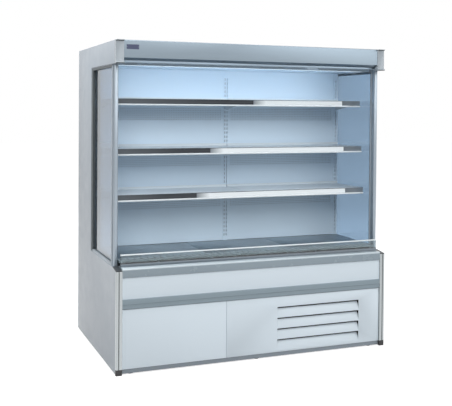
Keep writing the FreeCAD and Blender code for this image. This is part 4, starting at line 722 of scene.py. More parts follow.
softened("louvre_panel", "louvred_panel", white_coat, "white_paint", ease=0.0005, body="louvre_panel")
louvre_low, louvre_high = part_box("louvre_panel")
mat_x, mat_z = (0.118, 0.736), (0.044, 0.330)
mat_play, mat_thick = 0.0006, 0.006
clip_sheet, clip_half, clip_inset, clip_tail, clip_gap = 0.0008, 0.01, 0.06, 0.02, 0.003
foam_shades = ((0.004, 0.004, 0.005), (0.02, 0.021, 0.023))
filter_foam, tree, shader, pores = cellular("filter_foam", 420, foam_shades, (0.85, 0.95))
raised(tree, shader, pores, 0.001, strength=0.8)


def filter_mat(work):
    rear = louvre_high.y + mat_play
    cover_strip(work, (mat_x[0], rear, mat_z[0]), (mat_x[1], rear + mat_thick, mat_z[1]), ease=0.0015)


def filter_clips(work):
    """Two bent clips that hold the mat along its top."""
    rear, front = louvre_high.y + mat_play + mat_thick + 0.0006, louvre_low.y + 0.0017
    tail, under = mat_z[1] - clip_tail, mat_z[1] + clip_gap
    top = under + clip_sheet
    outline = [(rear, tail), (rear + clip_sheet, tail), (rear + clip_sheet, top)]
    outline += [(front, top), (front, under), (rear, under)]
    for x in (mat_x[0] + clip_inset, mat_x[1] - clip_inset):
        drawn_out(work, outline, x - clip_half, x + clip_half)


placed("dust_filter", filter_mat, [filter_foam], "black_plastic", body="louvre_panel")
placed("dust_filter_clips", filter_clips, [zinc], "galvanised", body="louvre_panel")


# ---- Nosing -----------------------------------------------------------------------------------
# Hollow grey-blue profile that hooks over the tub's wall and carries the riser glass. The faces
# along its top are painted paler: a painted highlight.

nosing_plastic = coating("nosing_profile_grey", (0.27, 0.335, 0.385), (0.20, 0.30), 0.02, 0.0002, 300)
# The paler finish for the top faces is a painted highlight.
nosing_painted_highlight = coating("nosing_top_painted_highlight", (0.52, 0.60, 0.65), (0.12, 0.20), 0.02, 0.0001, 300)
nosing = softened("nosing", "nosing_profile", nosing_plastic, "nosing_grey")
highlight_band_height = 0.011
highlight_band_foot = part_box("nosing")[1].z - highlight_band_height
zoned(nosing, nosing_painted_highlight, lambda centre, normal: centre.z > highlight_band_foot)


# ---- Riser glass and channel ------------------------------------------------------------------
# A low strip of toughened glass that keeps the cold air in, bedded in rubber in a dark satin
# channel, with a pale clip-on profile over its upper edge.

channel_metal = drawn_metal("channel_aluminium", (0.20, 0.23, 0.26), (0.25, 0.35), (0.5, 40, 40))
softened("riser_channel", "riser_channel_extrusion", channel_metal, "satin_aluminium", ease=0.0005)
riser_glass = sheet_glass("riser_sheet_glass", (0.80, 0.88, 0.90))
dress("riser_glass", riser_glass)
riser_low, riser_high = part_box("riser_glass")
channel_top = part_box("riser_channel")[1].z
gasket_thick, gasket_sunk, gasket_shown = 0.0016, 0.006, 0.0015


def riser_gaskets(work):
    for y, sign in ((riser_low.y, -1), (riser_high.y, 1)):
        near, far = sorted((y, y + sign * gasket_thick))
        low = (riser_low.x, near, channel_top - gasket_sunk)
        cover_strip(work, low, (riser_high.x, far, channel_top + gasket_shown), ease=0.0004)


def riser_edge(work):
    """A U over the glass, a little rounded on top."""
    wall, deep, play, shoulder, crown = 0.0012, 0.0055, 0.0001, 0.0006, 0.0014
    front, rear, top = riser_low.y - wall, riser_high.y + wall, riser_high.z
    near, far = riser_low.y - play, riser_high.y + play
    outline = [(front, top - deep), (near, top - deep), (near, top + play), (far, top + play)]
    outline += [(far, top - deep), (rear, top - deep), (rear, top + shoulder)]
    outline += [(rear - wall, top + crown), (front + wall, top + crown), (front, top + shoulder)]
    drawn_out(work, outline, riser_low.x, riser_high.x)


placed("riser_gaskets", riser_gaskets, [gasket_rubber], "black_plastic")
edge_white = coating("riser_edge_white", (0.82, 0.88, 0.90), (0.15, 0.25), 0.01, 0.0001, 300)
placed("riser_edge_profile", riser_edge, [edge_white], "white_paint", angle=35)


# ---- Header -----------------------------------------------------------------------------------
# A brushed stainless fascia between two moulded end caps with a lip at the top and a hooked lip at
# the bottom. Faces that look down, on the fascia and on the caps, are painted darker as shade. A small
# enamelled plate is riveted near its left end; it is bare here.

brush = {"stretch": (0.12, 24, 24), "depth": 0.00002}
brushed_steel = drawn_metal("brushed_stainless", (0.235, 0.285, 0.33), (0.32, 0.40), **brush)
# Darker finish for the fascia's downward faces: painted shade.
underside_painted_shade = drawn_metal("fascia_underside_painted_shade", (0.14, 0.18, 0.22), (0.35, 0.45), **brush)
cap_paint = coating("header_cap_grey", (0.35, 0.395, 0.435), (0.22, 0.3), 0.015, 0.00015)
# Darker finish for the caps' downward faces, under the lips: painted shade.
lip_painted_shade = coating("header_lip_painted_shade", (0.10, 0.115, 0.125), (0.3, 0.45), 0.05)
front = softened("fascia", "fascia_sheet", brushed_steel, "stainless", ease=0.0006)
zoned(front, underside_painted_shade, lambda centre, normal: normal.z < -0.3)
for side in ("left", "right"):
    node = f"header_cap_{side}"
    cap = softened(node, node + "_moulding", cap_paint, "cap_grey", ease=0.0012, segments=3)
    zoned(cap, lip_painted_shade, lambda centre, normal: normal.z < -0.3)

enamel_shades = ((0.035, 0.045, 0.095), (0.05, 0.062, 0.12))
plate_enamel = mottled("plate_enamel", enamel_shades, (30, 60), (0.45, 0.6))[0]
fascia_low, fascia_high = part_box("fascia")
plate_x, plate_z = (-0.852, -0.772), (fascia_high.z - 0.057, fascia_high.z - 0.025)
plate_thick, rim_proud, rim_wide, rim_tall, pin_inset = 0.0012, 0.0017, 0.0020, 0.00192, 0.006


def bare_plate(work):
    """The plate and the raised rim along its four sides."""
    y, (left, right), (foot, head) = fascia_low.y, plate_x, plate_z
    cover_strip(work, (left, y - plate_thick, foot), (right, y + 0.0001, head), ease=0.0006)
    bars = [(left, foot, right, foot + rim_tall), (left, head - rim_tall, right, head)]
    bars += [(x, foot + rim_tall, x + rim_wide, head - rim_tall) for x in (left, right - rim_wide)]
    for x0, z0, x1, z1 in bars:
        cover_strip(work, (x0, y - rim_proud, z0), (x1, y - plate_thick + 0.0001, z1), ease=0.0002, finish=1)


placed("bare_plate", bare_plate, [plate_enamel, brushed_steel], "black_plastic")
pin_x = (plate_x[0] + pin_inset, plate_x[1] - pin_inset)
pin_places = [(x, fascia_low.y - plate_thick, sum(plate_z) / 2) for x in pin_x]
pins = screws("plate_rivets", pin_places, (0, -1, 0), brushed_steel, radius=0.0016)
fit(pins, "cabinet", "stainless")


# ---- Canopy -----------------------------------------------------------------------------------
# White sheet ceiling, and in front of it the honeycomb that straightens the cold air as it leaves.
# The comb's cells are hexagonal tubes of thin plastic in a folded rim.

interior_white = coating("interior_white", (0.64, 0.775, 0.90), (0.32, 0.44), 0.012, 0.0002, 240)
dress("ceiling_panel", interior_white)
comb_low, comb_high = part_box("air_comb")
comb_plastic = coating("comb_plastic", (0.50, 0.56, 0.61), (0.35, 0.5), 0.03)
cell_radius, cell_wall, cell_inset = 0.0072, 0.0006, 0.0015


def comb_rim(work):
    low, high, wall = comb_low, comb_high, 0.0012
    for y in (low.y, high.y - wall):
        cover_strip(work, (low.x, y, low.z), (high.x, y + wall, high.z), ease=0.0003)
    for x in (low.x, high.x - wall):
        cover_strip(work, (x, low.y + wall, low.z), (x + wall, high.y - wall, high.z), ease=0.0003)


def comb_cell(work):
    outer, inner, tall = cell_radius, cell_radius - cell_wall, comb_high.z - comb_low.z - 2 * cell_inset
    angles = [math.radians(60 * step + 30) for step in range(6)]
    rings = []
    for radius, z in ((outer, 0), (outer, tall), (inner, tall), (inner, 0)):
        rings.append([work.verts.new((radius * math.cos(a), radius * math.sin(a), z)) for a in angles])
    skinned(work, rings + rings[:1])


placed("air_comb_rim", comb_rim, [interior_white], "interior_paint", "air_comb")
cell_step, row_step, first_row, comb_ends = 0.0125, 0.0108, 0.0105, 0.02
cells_across = int((comb_high.x - comb_low.x - comb_ends) / cell_step)
cell_x = -(cells_across - 1) * cell_step / 2 - cell_step / 4
first_cell = (cell_x, comb_low.y + first_row, comb_low.z + cell_inset)
second_cell = (cell_x + cell_step / 2, first_cell[1] + row_step, first_cell[2])
for letter, place, rows in (("a", first_cell, 3), ("b", second_cell, 2)):
    cells = in_rows(f"air_comb_cells_{letter}", comb_cell, comb_plastic, place,
                    cells_across, (cell_step, 0, 0), rows, (0, 2 * row_step, 0))
    fit(cells, "cabinet", "interior_paint")


# ---- Lamps ------------------------------------------------------------------------------------
# Slim lamps: an opal diffuser snapped into a white holder, with end caps. One lies flush in the
# canopy, and one is tucked behind the front fold of each shelf; all are alight.

opal, tree, shader = new_finish("opal_diffuser")
shader.inputs["Base Color"].default_value = (0.9, 0.94, 0.97, 1)
shader.inputs["Emission Color"].default_value = (0.80, 0.92, 1.0, 1)
shader.inputs["Emission Strength"].default_value = 0.8
tree.links.new(between(tree, grain(tree, 30), 0.3, 0.4), shader.inputs["Roughness"])
holder_white = coating("lamp_holder", (0.7, 0.75, 0.79), (0.3, 0.4), 0.01)


def slim_lamp(work, low, high):
    """Diffuser with rounded lower corners, the holder it snaps into and a cap at each end."""
    cap, gap, inset, round_off, chamfer = 0.012, 0.0002, 0.0008, 0.003, 0.001
    split = low.z + (high.z - low.z) * 0.45
    soft = round_off * 0.3
    corner = [(0, split), (0, low.z + round_off), (soft, low.z + soft), (round_off, low.z)]
    diffuser = [(low.y + inset + y, z) for y, z in corner]
    diffuser += [(high.y - inset - y, z) for y, z in reversed(corner)]
    holder = [(low.y, split), (high.y, split), (high.y, high.z - chamfer)]
    holder += [(high.y - chamfer, high.z), (low.y + chamfer, high.z), (low.y, high.z - chamfer)]
    drawn_out(work, diffuser, low.x + cap, high.x - cap, 0)
    drawn_out(work, holder, low.x + cap, high.x - cap, 1)
    for x0, x1 in ((low.x, low.x + cap - gap), (high.x - cap + gap, high.x)):
        cover_strip(work, (x0, low.y, low.z), (x1, high.y, high.z), ease=0.0008, finish=1)


def canopy_lamp_body(work):
    slim_lamp(work, *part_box("header_lamp"))


placed("header_lamp_tube", canopy_lamp_body, [opal, holder_white], "lamp_diffuser", "header_lamp", angle=35)
shelf_lamp_boxes = [solid[1:] for solid in split_solids("shelf_lamps")]


def shelf_lamp_row(work):
    for low, high in shelf_lamp_boxes:
        slim_lamp(work, low, high)


placed("shelf_lamp_tubes", shelf_lamp_row, [opal, holder_white], "lamp_diffuser", "shelf_lamps", angle=35)


# ---- Night blind ------------------------------------------------------------------------------
# A spring roller on two zinc brackets, a coated cloth wound on it, and a satin pull bar with a
# finger tab at the cloth's lower end; the bar's colour is darkened as painted shade.

dress("blind_brackets", zinc)
cloth_low, cloth_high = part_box("blind_cloth")
roller_low, roller_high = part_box("blind_roller")

blind_cloth, tree, shader = new_finish("blind_cloth_weave")
threads = {"Color1": (0.62, 0.66, 0.69, 1), "Color2": (0.55, 0.60, 0.63, 1), "Mortar": (0.42, 0.46, 0.49, 1)}
threads.update({"Scale": 600, "Vector": texture_space(tree, turn=(math.pi / 2, 0, 0))})
weave = added(tree, "ShaderNodeTexBrick", threads)
surfaced(tree, shader, weave.outputs["Color"], between(tree, weave.outputs["Fac"], 0.6, 0.75))
raised(tree, shader, weave.outputs["Fac"], 0.0001, strength=0.5)

roller_axis = Vector((0, (roller_low.y + roller_high.y) / 2, (roller_low.z + roller_high.z) / 2))
roll_radius = (roller_high.z - roller_low.z) / 2
tube_radius, cloth_turns = 0.019, 7
cloth_reach = cloth_high.x


def wound_cloth(work):
    """The cloth's turns, seen as a spiral at both ends."""
    steps, core, outermost = 26, tube_radius + 0.0005, roll_radius - 0.0006
    path = []
    for step in range(cloth_turns * steps + 1):
        share = step / (cloth_turns * steps)
        angle = -2 * math.pi * cloth_turns * (1 - share) + math.pi
        radius = core + (outermost - core) * share
        path.append((roller_axis.y + radius * math.cos(angle), roller_axis.z + radius * math.sin(angle)))
    loops = [[work.verts.new((x, y, z)) for y, z in path] for x in (-cloth_reach, 0, cloth_reach)]
    skinned(work, loops, closed=False)


roll = piece("blind_cloth_roll", wound_cloth, [blind_cloth])
shade_smooth(roll.data)


def roller_core(work):
    ends, pin, pin_length = roller_high.x, 0.005, 0.010
    half = [(tube_radius, ends - pin_length), (pin, ends - pin_length), (pin, ends), (0, ends)]
    profile = [(radius, -along) for radius, along in reversed(half)] + half
    turned(work, profile, roller_axis, along_x=True, sides=40)


core = placed("blind_roller_tube", roller_core, [zinc], "galvanised", "blind_roller",
              body="blind_roller", angle=35)
fit(roll, "blind_roller", "blind_fabric")

hang_y = (cloth_low.y + cloth_high.y) / 2


def hanging_cloth(work):
    """A flat sheet with a slight waviness across, which keeps it from looking like a board."""
    rows, columns, wave, wave_step = 30, 40, 0.0002, 0.9
    top, bottom = cloth_high.z, cloth_low.z
    grid = []
    for row in range(rows + 1):
        z = top + (bottom - top) * row / rows
        line = []
        for column in range(columns + 1):
            x = -cloth_reach + 2 * cloth_reach * column / columns
            line.append(work.verts.new((x, hang_y + wave * math.sin(column * wave_step), z)))
        grid.append(line)
    skinned(work, grid, closed=False)


hanging = piece("blind_cloth_hanging", hanging_cloth, [blind_cloth])
shade_smooth(hanging.data)
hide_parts("blind_cloth")
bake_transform(hanging)

# The bar's darker colour is painted shade for where it hangs under the header.
bar_painted_shade_metal = drawn_metal("pull_bar_aluminium_painted_shade", (0.24, 0.30, 0.36), (0.30, 0.40), (0.5, 40, 40))
softened("blind_bar", "blind_pull_bar", bar_painted_shade_metal, "satin_aluminium", body="blind_bar")


# ---- Uprights and duct panels -----------------------------------------------------------------
# Folded channels with a column of punched slots for the brackets, and white panels between them.
# Under each shelf the panels are finely perforated, so that cold air comes out over the goods.

dress("uprights", interior_white)
levels, shelf_fold, band_drop = ("lower", "middle", "upper"), 0.016, 0.052
shelf_tops = [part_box(f"shelf_{level}")[1].z - shelf_fold for level in levels]
hole_pitch, hole_radius, hole_rows, panel_sheet = 0.0122, 0.0027, 7, 0.0015


def perforated_cell(work):
    """One square of sheet with an eight-sided hole, facing the customer."""
    half = hole_pitch / 2
    angles = [math.radians(45 * step + 22.5) for step in range(8)]
    hole = [work.verts.new((hole_radius * math.cos(a), 0, hole_radius * math.sin(a))) for a in angles]
    corner = [work.verts.new((half * x, 0, half * z)) for x, z in ((1, 1), (-1, 1), (-1, -1), (1, -1))]
    for quarter in range(4):
        first, second = corner[quarter], corner[(quarter + 1) % 4]
        near, far, last = hole[2 * quarter], hole[2 * quarter + 1], hole[(2 * quarter + 2) % 8]
        work.faces.new((near, far, first))
        work.faces.new((far, last, second, first))


def duct_sheet(low, high, name):
    """A folded panel: plain zones and perforated bands on one grid, then given its thickness."""
    columns = int((high.x - low.x) / hole_pitch) - 2
    first_x = (low.x + high.x) / 2 - (columns - 1) * hole_pitch / 2
    lines_x = [first_x + (step - 0.5) * hole_pitch for step in range(columns + 1)]
    lines_x = [low.x] + lines_x + [high.x]
    bands = [top - band_drop - hole_rows * hole_pitch for top in shelf_tops]
    work = bmesh.new()
    for number, band in enumerate(bands):
        start = (first_x, low.y, band + hole_pitch / 2)
        cells = in_rows(f"{name}_band_{number}", perforated_cell, interior_white, start,
                        columns, (hole_pitch, 0, 0), hole_rows, (0, 0, hole_pitch))
        work.from_mesh(cells.data)
        bpy.data.objects.remove(cells)
    zones = []
    foot = low.z
    for band in sorted(bands):
        zones.append((foot, band, lines_x))
        for row in range(hole_rows):
            edge = band + row * hole_pitch
            zones.append((edge, edge + hole_pitch, lines_x[:2]))
            zones.append((edge, edge + hole_pitch, lines_x[-2:]))
        foot = band + hole_rows * hole_pitch
    zones.append((foot, high.z, lines_x))
    for bottom, top, lines in zones:
        for left, right in zip(lines, lines[1:]):
            corners = ((left, bottom), (right, bottom), (right, top), (left, top))
            work.faces.new([work.verts.new((x, low.y, z)) for x, z in corners])
    bmesh.ops.remove_doubles(work, verts=work.verts, dist=1e-5)
    rim = [edge for edge in work.edges if len(edge.link_faces) == 1
           and all(min(abs(v.co.x - low.x), abs(v.co.x - high.x)) < 1e-5 for v in edge.verts)]
    folded = bmesh.ops.extrude_edge_only(work, edges=rim)["geom"]
    flange = [item for item in folded if isinstance(item, bmesh.types.BMVert)]
    bmesh.ops.translate(work, vec=(0, high.y - low.y - panel_sheet, 0), verts=flange)
    bmesh.ops.recalc_face_normals(work, faces=work.faces)
    front = next(face for face in work.faces if abs(face.normal.y) > 0.9)
    if front.normal.y > 0:
        bmesh.ops.reverse_faces(work, faces=work.faces)
    mesh = bpy.data.meshes.new(name)
    work.to_mesh(mesh)
    work.free()
    thing = linked(name, mesh)
    mesh.materials.append(interior_white)
    shell = thing.modifiers.new("sheet", "SOLIDIFY")
    shell.thickness = panel_sheet
    shell.offset = -1
    applied(thing)
    return thing


for number, (mesh, low, high) in enumerate(split_solids("duct_panels")):
    sheet = duct_sheet(low, high, "duct_panel_left" if low.x < 0 else "duct_panel_right")
    fit(sheet, "cabinet", "interior_paint", *(["duct_panels"] if number == 0 else []))


# ---- Shelves, brackets, price rails -----------------------------------------------------------
# Powder-coated shelves in two bays on cantilever brackets. A glossy price rail with a white foot is
# clipped over the front fold. The rail's colour is painted shade that changes along it, darkest just
# left of the blank white strip in its right part, and the strip's left end is painted shade too.

shelf_white = coating("shelf_white", (0.60, 0.675, 0.735), (0.3, 0.4), 0.012, 0.0002, 240)
for level in levels:
    softened(f"shelf_{level}", f"shelf_{level}_sheets", shelf_white, "white_paint", ease=0.0007)
dress("shelf_brackets", shelf_white)

# Painted shade on the rails: pale at the left end, dark towards the strip, lighter again to the right.
painted_shade_pale, painted_shade_dark = (0.085, 0.10, 0.115), (0.022, 0.028, 0.036)
painted_shade_mid, painted_shade_far_end = (0.13, 0.16, 0.19), (0.20, 0.24, 0.28)


def painted_shade_along_x(name, stops, gloss=(0.14, 0.22)):
    """Plastic whose painted shade changes along X, from (x, colour) stops; it is even in between."""
    material, tree, shader = new_finish(name)
    first, last = stops[0][0], stops[-1][0]
    x = added(tree, "ShaderNodeSeparateXYZ", {"Vector": texture_space(tree)}).outputs["X"]
    along = added(tree, "ShaderNodeMapRange", {"From Min": first, "From Max": last, "Value": x})
    ramp = added(tree, "ShaderNodeValToRGB", {"Fac": along.outputs["Result"]})
    for number, (x, colour) in enumerate(stops):
        share = (x - first) / (last - first)
        stop = ramp.color_ramp.elements[number] if number < 2 else ramp.color_ramp.elements.new(share)
        stop.position = share
        stop.color = (*colour, 1)
    surfaced(tree, shader, ramp.outputs["Color"], between(tree, grain(tree, 20, detail=4), *gloss))
    return material


rail_white = coating("price_rail_foot", (0.84, 0.90, 0.94), (0.2, 0.3), 0.01, 0.00001)
strip_white, strip_painted_shade = (0.84, 0.90, 0.94), (0.20, 0.23, 0.26)
rail_lip, foot_depth, foot_head, foot_round = 0.006, 0.004, 0.002, 0.0008
strip_thick, strip_foot, strip_head = 0.0002, 0.0055, 0.0035
strip_starts, end = (-0.345, -0.245, 0.065), 0.728
painted_shade_lead, strip_painted_shade_run = 0.2, 0.09
rail_solids = sorted(split_solids("price_rails"), key=lambda solid: solid[1].z)
for level, start, (mesh, low, high) in zip(levels, strip_starts, rail_solids):
    rail_shades = [(low.x, painted_shade_pale), (start - painted_shade_lead, painted_shade_dark), (start, painted_shade_dark)]
    rail_painted_shade = painted_shade_along_x(f"price_rail_painted_shade_{level}", rail_shades + [(end, painted_shade_mid), (high.x, painted_shade_far_end)])
    # The strip's dark left end is painted shade.
    strip_shades = [(start, strip_painted_shade), (start + strip_painted_shade_run, strip_white), (end, strip_white)]
    strip_finish = painted_shade_along_x(f"blank_strip_{level}", strip_shades)
    rail_piece = eased(mesh, f"price_rail_{level}", rail_painted_shade, ease=0.0006)
    zoned(rail_piece, rail_white, lambda centre, normal: centre.z < low.z + foot_depth)
    fit(rail_piece, "cabinet", "price_rail", *(["price_rails"] if level == levels[0] else []))

    def rail_foot(work):
        """The pale foot of the profile, round at the front."""
        y, foot, head = low.y, low.z - foot_depth, low.z + foot_head
        outline = [(y + rail_lip, foot), (y + foot_round, foot), (y, foot + foot_round)]
        outline += [(y, head - foot_round), (y + foot_round, head), (y + rail_lip, head)]
        drawn_out(work, outline, low.x + 0.001, high.x - 0.001)

    def blank_strip(work):
        face = low.y + rail_lip
        corner = (start, face - 3 * strip_thick, low.z + strip_foot)
        cover_strip(work, corner, (end, face + strip_thick, high.z - strip_head), strip_thick)

    placed(f"price_rail_foot_{level}", rail_foot, [rail_white], "price_rail", angle=35)
    placed(f"blank_strip_{level}", blank_strip, [strip_finish], "price_rail")


# ---- Deck and return grille -------------------------------------------------------------------
# Three lift-out stainless pans on galvanised bearers, and in front of them the dark slotted grille
# through which the cold air falls back to the fans.

dress("deck_bearers", zinc)
pan_steel = drawn_metal("deck_stainless", (0.30, 0.35, 0.385), (0.26, 0.36), (0.15, 24, 24), depth=0.00002)
softened("deck_pans", "deck_pan_sheets", pan_steel, "stainless")
grille_grey = coating("return_grille_grey", (0.23, 0.28, 0.31), (0.3, 0.45), 0.05)
dress("return_grille", grille_grey)


# ---- Evaporator fans and coil -----------------------------------------------------------------
# Three plastic fans on small motors behind wire guards draw the air through a galvanised plate and
# push it through the coil behind, whose thin fins are pressed on to runs of copper tube.

fan_plastic = coating("fan_plastic", (0.05, 0.052, 0.056), (0.3, 0.45), 0.1)
motor_black = coating("motor_black", (0.02, 0.02, 0.022), (0.35, 0.5), 0.1)
fan_names = ("evaporator_fan_left", "evaporator_fan_centre", "evaporator_fan_right")
for fan in (*fan_names, "condenser_fan"):
    dress(fan, fan_plastic)
dress("fan_plate", zinc)
dress("fan_motors", motor_black)


def round_section(work, centre, across, upward, radius, sides):
    """The section of a wire or a tube, as a loop of vertices."""
    angles = [2 * math.pi * step / sides for step in range(sides)]
    return [work.verts.new(centre + radius * (across * math.cos(a) + upward * math.sin(a))) for a in angles]


def spread_out(angle):
    """The direction at an angle in a plane square to Y."""
    return Vector((math.cos(angle), 0, math.sin(angle)))


def wire_ring(work, centre, radius, wire):
    """A ring of round wire in a plane square to Y."""
    sides, ahead, loops = 40, Vector((0, 1, 0)), []
    for step in range(sides):
        outward = spread_out(2 * math.pi * step / sides)
        loops.append(round_section(work, centre + outward * radius, outward, ahead, wire, 6))
    skinned(work, loops + loops[:1])


def wire_spoke(work, start, end, wire):
    """A straight round wire between two places."""
    along = end - start
    turn = along.to_track_quat("Z", "Y").to_matrix().to_4x4()
    before = set(work.verts)
    turned(work, [(0, 0), (wire, 0), (wire, along.length), (0, along.length)], sides=6)
    bmesh.ops.transform(work, matrix=Matrix.Translation(start) @ turn, verts=list(set(work.verts) - before))


def fan_guard(work, centre, reach, rings, wire=0.0011):
    for number in range(rings):
        wire_ring(work, centre, reach * (number + 1) / rings, wire)
    spokes_at, overlap = centre + Vector((0, -2 * wire, 0)), 0.004
    for step in range(4):
        outward = spread_out(math.radians(45 + 90 * step))
        wire_spoke(work, spokes_at + outward * (reach / rings), spokes_at + outward * (reach + overlap), wire)


guard_shades = ((0.50, 0.52, 0.54), (0.62, 0.64, 0.66))
guard_wire = mottled("guard_wire", guard_shades, (200, 90), (0.25, 0.4), metallic=1.0)[0]
guard_gap, small_guard, large_guard = 0.006, 0.076, 0.118


def joint_place(child):
    joints = frame["record"]["behaviour"]["joints"]
    return Vector(next(joint["pos_m"] for joint in joints if joint["child"] == child))


def evaporator_guards(work):
    for name in fan_names:
        middle = joint_place(name)
        fan_guard(work, Vector((middle.x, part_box(name)[0].y - guard_gap, middle.z)), small_guard, rings=6)


placed("evaporator_fan_guards", evaporator_guards, [guard_wire], "galvanised", angle=60)

fin_metal = drawn_metal("fin_aluminium", (0.66, 0.68, 0.70), (0.3, 0.45), (1, 60, 60), 8)
copper_shades = ((0.55, 0.24, 0.12), (0.72, 0.38, 0.22))
copper = mottled("copper_tube", copper_shades, (20, 60), (0.2, 0.4), metallic=1.0, detail=4)[0]
bend_reach, bend_lead, tube_size, plate_foot = 0.028, 0.004, 0.0045, 0.010
plate_sheet, fin_half, fin_inset, first_fin = 0.003, 0.00016, 0.0004, 0.0025


def finned_block(node, tubes, pitch):
    """Fins as a row of thin plates, the tube runs that carry them, and folded end plates."""
    low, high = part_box(node)
    fins_foot = low.z + plate_foot
    left, right = low.x + plate_sheet, high.x - bend_reach
    count = int((right - left - plate_sheet) / pitch)

    def one_fin(work):
        corner = (-fin_half, low.y + fin_inset, fins_foot)
        cover_strip(work, corner, (fin_half, high.y - fin_inset, high.z - fin_inset), ease=0.00005)

    fins = in_rows(f"{node}_fins", one_fin, fin_metal, (left + first_fin, 0, 0), count, (pitch, 0, 0))
    fit(fins, "cabinet", "fins", node)

    def plates(work):
        for x0, x1 in ((low.x, left), (right - plate_sheet, right)):
            cover_strip(work, (x0, low.y, low.z), (x1, high.y, high.z), ease=0.0004)

    placed(f"{node}_end_plates", plates, [zinc], "galvanised")

    def runs(work):
        """Two straight tubes at each height, joined by a bend beyond the end plate."""
        step, end = (high.z - fins_foot) / tubes, right + bend_lead
        middle, reach, upward = (low.y + high.y) / 2, (high.y - low.y) / 4, Vector((0, 0, 1))
        out = bend_reach - bend_lead - tube_size
        profile = [(0, low.x), (tube_size, low.x), (tube_size, end), (0, end)]
        for number in range(tubes):
            z = fins_foot + step * (number + 0.5)
            for y in (middle - reach, middle + reach):
                turned(work, profile, (0, y, z), along_x=True, sides=12)
            sweep = []
            for angle in [math.pi * turn / 8 for turn in range(9)]:
                centre = Vector((end + out * math.sin(angle), middle - reach * math.cos(angle), z))
                ahead = Vector((math.cos(angle) * out, math.sin(angle) * reach, 0)).normalized()
                sweep.append(round_section(work, centre, ahead.cross(upward), upward, tube_size, 10))
            skinned(work, sweep)
            work.faces.new(sweep[0])
            work.faces.new(sweep[-1])

    placed(f"{node}_tubes", runs, [copper], "copper_pipe", angle=50)


finned_block("evaporator", tubes=3, pitch=0.0062)


# ---- Condensing unit --------------------------------------------------------------------------
# Compressor on rubber feet, finned condenser with its shroud, fan and guard, copper lines, all on a
# galvanised tray that slides on the sills.

for thing in ("unit_tray", "fan_shroud", "control_box"):
    dress(thing, zinc)
finned_block("condenser", tubes=6, pitch=0.0032)
shell_black = coating("compressor_black", (0.012, 0.012, 0.014), (0.15, 0.25), 0.1, 0.0003)
dress("compressor", shell_black)
dress("refrigerant_pipes", copper)


def condenser_guard(work):
    middle = joint_place("condenser_fan")
    guard_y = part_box("condenser_fan")[1].y + guard_gap
    fan_guard(work, Vector((middle.x, guard_y, middle.z)), large_guard, rings=8, wire=0.0013)


placed("condenser_fan_guard", condenser_guard, [guard_wire], "galvanised", angle=60)

compressor_low, compressor_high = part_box("compressor")
compressor_middle = (compressor_low + compressor_high) / 2


def weld_seam(work):
    """The bead round the shell where its upper half is welded on."""
    centre = Vector((compressor_middle.x, compressor_middle.y, 0))
    middle, rooted, bead = compressor_middle.z + 0.02, 0.006, 0.0012
    radius = (compressor_high.x - compressor_low.x) / 2 - 0.0025
    profile = [(radius - rooted, -0.003), (radius, -0.002), (radius + bead, 0)]
    profile += [(radius, 0.002), (radius - rooted, 0.003), profile[0]]
    turned(work, [(r, middle + z) for r, z in profile], centre, sides=48)


placed("compressor_weld_seam", weld_seam, [shell_black], "compressor_black", angle=60)


# ---- Controls ---------------------------------------------------------------------------------
# Mains rocker switch and thermostat knob on the control box behind the service panel, with a ring
# of raised ticks round the knob and screws in the corners of the box.

dress("power_switch", foot_black)
dress("thermostat_knob", foot_black)
box_low, box_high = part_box("control_box")
knob_middle = joint_place("thermostat_knob")
tick_radius, tick_long, tick_short, tick_half = 0.0215, 0.0065, 0.004, 0.0005


def knob_ticks(work):
    """Eleven ticks over the knob's 270 degrees; the first, the middle and the last are longer."""
    centre = Matrix.Translation((knob_middle.x, box_low.y, knob_middle.z))
    for step in range(11):
        reach = tick_radius + (tick_long if step % 5 == 0 else tick_short)
        before = set(work.verts)
        cover_strip(work, (tick_radius, -tick_half, -tick_half), (reach, 0.0003, tick_half), ease=0.0001)
        place = centre @ Matrix.Rotation(-math.radians(225 - 27 * step), 4, "Y")
        bmesh.ops.transform(work, matrix=place, verts=list(set(work.verts) - before))


placed("thermostat_ticks", knob_ticks, [foot_black], "black_plastic")
box_inset = 0.012
box_x, box_z = [(low + box_inset, high - box_inset)
                for low, high in ((box_low.x, box_high.x), (box_low.z, box_high.z))]
box_corners = [(x, box_low.y, z) for x in box_x for z in box_z]
box_screws = screws("control_box_screws", box_corners, (0, -1, 0), zinc, radius=0.0032)
fit(box_screws, "cabinet", "galvanised")


# ---- Studio -----------------------------------------------------------------------------------
# A pale floor that runs out to white, soft lamps, and the camera at the photograph's place.

def seen_rays(tree):
    """One for every ray that shows the background: seen straight, in metal or through glass."""
    path = tree.nodes.new("ShaderNodeLightPath")
    found = path.outputs["Is Camera Ray"]
    for kind in ("Is Glossy Ray", "Is Transmission Ray"):
        either = added(tree, "ShaderNodeMath", {0: found, 1: path.outputs[kind]}, operation="MAXIMUM")
        found = either.outputs[0]
    return found


floor_mesh = bpy.data.meshes.new("studio_floor")
floor_mesh.from_pydata([(-30, -30, 0), (30, -30, 0), (30, 30, 0), (-30, 30, 0)], [], [(0, 1, 2, 3)])
floor = linked("studio_floor", floor_mesh)
floor_finish = bpy.data.materials.new("studio_floor")
floor_finish.use_nodes = True
tree = floor_finish.node_tree
tree.nodes.clear()
white = (1, 1, 1, 1)
matt = added(tree, "ShaderNodeBsdfDiffuse", {"Color": (0.30, 0.30, 0.30, 1)})
thin = added(tree, "ShaderNodeBsdfDiffuse", {"Color": (0.7, 0.7, 0.7, 1)})
lit = added(tree, "ShaderNodeEmission", {"Color": white, "Strength": 0.7})
bright = added(tree, "ShaderNodeAddShader", {0: lit.outputs[0], 1: thin.outputs[0]})
mix = added(tree, "ShaderNodeMixShader", {0: seen_rays(tree), 1: matt.outputs[0], 2: bright.outputs[0]})
added(tree, "ShaderNodeOutputMaterial", {"Surface": mix.outputs[0]})
